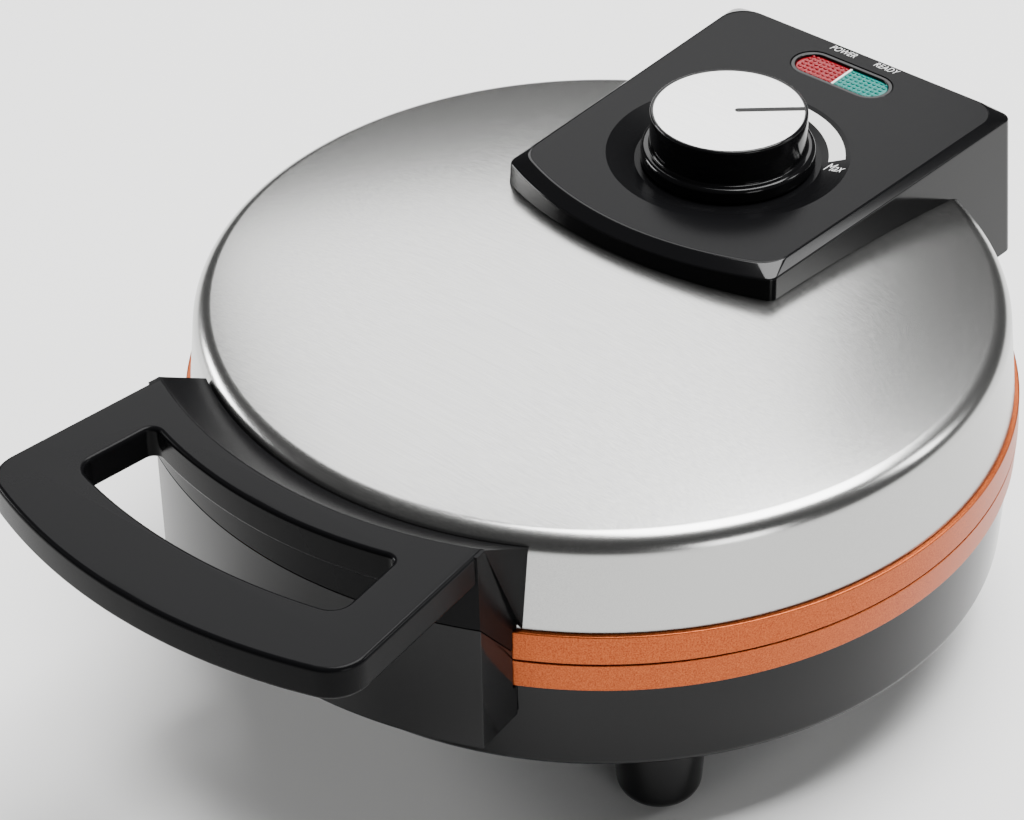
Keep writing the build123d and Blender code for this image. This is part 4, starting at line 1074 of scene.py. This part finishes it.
def scale_piece():
    """Pale printed scale on the recess slope, wide at one end and narrow at the other."""
    bm = bmesh.new()
    rings = []
    middle_r = scale_outer_r - (scale_wide + scale_narrow) / 2
    shift = (scale_wide - scale_narrow) / 2 / math.cos(math.radians(scale_start))
    for i in range(SCALE_STEPS + 1):
        a = math.radians(scale_start + (scale_end - scale_start) * i / SCALE_STEPS)
        inner = math.sqrt(middle_r ** 2 - (shift * math.sin(a)) ** 2) - shift * math.cos(a)
        ring = []
        under = [(inner, -scale_depth), (scale_outer_r, -scale_depth)]
        over = [(scale_outer_r, scale_lift), (inner, scale_lift)]
        for r, lift in under + over:
            x = r * math.cos(a)
            y = knob_y + r * math.sin(a)
            ring.append(bm.verts.new((x * MM, axis_y + y * MM, (slope_z(r) + lift) * MM)))
        rings.append(ring)
    for here, after in zip(rings, rings[1:]):
        for j in range(4):
            k = (j + 1) % 4
            bm.faces.new((here[j], here[k], after[k], after[j]))
    bm.faces.new(rings[0])
    bm.faces.new(rings[-1])
    piece("printed_scale", mesh_from(bm), "lid", "pale_ink", ["dial_scale"])


def knob_piece():
    """Tall gloss knob with a flange, a seat for its face and a bore for the shaft."""
    face_z = knob_top_z - knob_face_depth
    flange_z = knob_bottom_z + knob_flange_height
    bore_z = knob_bottom_z + shaft_depth
    inside_z = knob_top_z - 2 * knob_wall
    profile = rounded([
        (knob_r - knob_wall, knob_bottom_z), (knob_flange_r, knob_bottom_z, knob_foot_round),
        (knob_flange_r, flange_z, flange_round), (knob_r, flange_z, waist_round),
        (knob_r, knob_top_z, knob_top_round), (knob_face_r, knob_top_z),
        (knob_face_r, face_z), (0.0, face_z),
        (0.0, bore_z), (shaft_r, bore_z), (shaft_r, knob_bottom_z),
        (hub_r, knob_bottom_z), (hub_r, inside_z), (knob_r - knob_wall, inside_z),
    ])
    body = turned(profile, (0.0, knob_y), KNOB_STEPS)
    piece("gloss_knob", body, "knob", "gloss_black_plastic", ["knob_body"])


def knob_face_piece():
    """Pale brushed disc let into the knob's top."""
    low_z = knob_top_z - knob_face_depth
    high_z = knob_top_z - knob_face_drop
    edge_r = knob_face_r - knob_face_gap
    profile = rounded([
        (0.0, low_z), (edge_r, low_z), (edge_r, high_z, knob_face_drop), (0.0, high_z),
    ])
    disc = turned(profile, (0.0, knob_y), KNOB_STEPS)
    piece("pale_knob_face", disc, "knob", "brushed_face", ["knob_face"])


def pointer_piece():
    """Thin dark pointer line on the knob's face, round at its inner end."""
    stop = knob_face_r - pointer_stop
    half = pointer_width / 2
    line = [Vector((stop, -half)), Vector((stop, half))]
    line += sweep((pointer_start, 0.0), half, (0, 1), (-1, 0), ROUND_STEPS)
    line += sweep((pointer_start, 0.0), half, (-1, 0), (0, -1), ROUND_STEPS)[1:]
    spin = Matrix.Rotation(math.radians(pointer_angle), 2)
    line = [spin @ p + Vector((0.0, knob_y)) for p in line]
    mesh = prism(line, knob_top_z - pointer_root, knob_top_z - pointer_drop)
    piece("pointer_line", mesh, "knob", "dark_ink", ["knob_pointer"])


def words(text, spot, z, height):
    """Thin slanted lettering that reads along X, centred at a plan point."""
    data = bpy.data.curves.new("words", "FONT")
    data.body = text
    data.align_x = "CENTER"
    data.align_y = "CENTER"
    data.size = height * MM
    data.shear = letter_slant
    data.offset = -letter_thin * height * MM
    data.extrude = letter_thickness * MM
    mesh = take(place(data))
    centre = Matrix.Translation((spot[0] * MM, axis_y + spot[1] * MM, z * MM))
    mesh.transform(centre @ Matrix.Diagonal((letter_width, 1.0, 1.0, 1.0)))
    return mesh


def lettering_piece():
    """Pale function words: two at the window and one on the slope at the end of the scale."""
    flat = housing_top_z + flat_lift
    hot = words("Max", hot_spot, 0.0, hot_letter)
    for vertex in hot.vertices:
        r = math.hypot(vertex.co.x, vertex.co.y - axis_y - knob_y * MM) / MM
        vertex.co.z += (slope_z(r) + slope_lift) * MM
    power = words("POWER", power_spot, flat, small_letter)
    ready = words("READY", ready_spot, flat, small_letter)
    piece("panel_words", joined([power, ready, hot]), "lid", "pale_ink", [])


def dress_frame():
    """Gives every CAD node that still shows a finish for what it is made of."""
    worn = {
        "plain_steel": ["lower_element", "upper_element", "hinge_pin", "thermostat_shaft"],
        "bright_tray": ["lower_reflector", "upper_reflector", "lid_frame"],
        "plated_steel": [
            "cover_screws", "foot_screws", "lower_plate_screws", "upper_plate_screws",
            "lower_element_straps", "upper_element_straps", "lower_strap_screws",
            "upper_strap_screws", "handle_screws", "apron_screws", "arm_screws", "housing_screws",
            "hinge_arms", "thermostat_strap", "thermal_fuse", "bottom_cover",
        ],
        "gloss_black_plastic": ["hinge_bracket", "inlet_gland"],
        "satin_black_plastic": ["terminal_block", "thermostat_body", "lamp_holder"],
        "lamp_glass": ["lamps"],
    }
    for finish, names in worn.items():
        for name in names:
            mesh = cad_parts[name].data
            mesh.materials.clear()
            mesh.materials.append(finishes[finish])


def pale_floor():
    """Plain pale matt floor."""
    half = 3.0
    corners = ((-half, -half, 0), (half, -half, 0), (half, half, 0), (-half, half, 0))
    bm = bmesh.new()
    bm.faces.new([bm.verts.new(p) for p in corners])
    mesh = bpy.data.meshes.new("floor")
    bm.to_mesh(mesh)
    bm.free()
    finish, tree, shader = start_finish("matt_pale_floor", "#E9E9E8", 0.6)
    tree.links.new(spread(tree, grain(tree, 40.0), 0.58, 0.66), shader.inputs["Roughness"])
    mesh.materials.append(finish)
    place(mesh, "floor")


def studio_lights():
    """Key from above and behind, two soft lights behind, and one low light on each side."""
    lamps = (
        ("key_behind", (0.2, 0.6, 2.0), (1.3, 1.3), 125.0),
        ("softbox_behind_left", (-0.81, 0.85, 1.18), (0.9, 1.05), 14.0),
        ("strip_behind_right", (1.05, 1.0, 0.85), (0.3, 0.5), 6.0),
        ("softbox_right", (1.5, -0.45, 0.30), (0.5, 0.5), 6.0),
        ("strip_left", (-1.4, -0.35, 0.46), (0.6, 0.3), 14.0),
    )
    target = Vector((0.0, 0.0, 0.06))
    for name, spot, size, power in lamps:
        light = bpy.data.lights.new(name, "AREA")
        light.shape = "RECTANGLE"
        light.size = size[0]
        light.size_y = size[1]
        light.energy = power
        thing = place(light, name)
        thing.location = spot
        thing.rotation_euler = (target - Vector(spot)).to_track_quat("-Z", "Y").to_euler()


def pale_room():
    """Even pale light from all round."""
    world = bpy.data.worlds.new("pale_room")
    world.use_nodes = True
    inputs = world.node_tree.nodes["Background"].inputs
    inputs["Color"].default_value = linear("#C8C8C8")
    inputs["Strength"].default_value = 0.16
    bpy.context.scene.world = world


def camera():
    """Camera of the photograph: long lens, from the front right and above, with a slight roll."""
    azimuth = math.radians(41.30)
    elevation = math.radians(36.75)
    roll = math.radians(-1.10)
    stand = (0.46659, axis_y - 0.56649, 0.60302)
    level = math.cos(elevation)
    back = Vector((math.sin(azimuth) * level, -math.cos(azimuth) * level, math.sin(elevation)))
    level_right = Vector((math.cos(azimuth), math.sin(azimuth), 0.0))
    level_up = back.cross(level_right)
    right = level_right * math.cos(roll) + level_up * math.sin(roll)
    up = back.cross(right)
    data = bpy.data.cameras.new("photo_camera")
    data.lens = 123.05
    data.sensor_width = 36.0
    data.clip_start = 0.05
    thing = place(data, "photo_camera")
    turn = Matrix((right, up, back)).transposed().to_4x4()
    thing.matrix_world = Matrix.Translation(stand) @ turn
    bpy.context.scene.camera = thing


base_piece()
feet_pieces()
plate_pieces()
lid_piece()
handle_piece()
apron_piece()
housing_piece()
panel_piece()
lens_pieces()
window_trim_pieces()
scale_piece()
knob_piece()
knob_face_piece()
pointer_piece()
lettering_piece()
dress_frame()
pale_floor()
studio_lights()
pale_room()
camera()
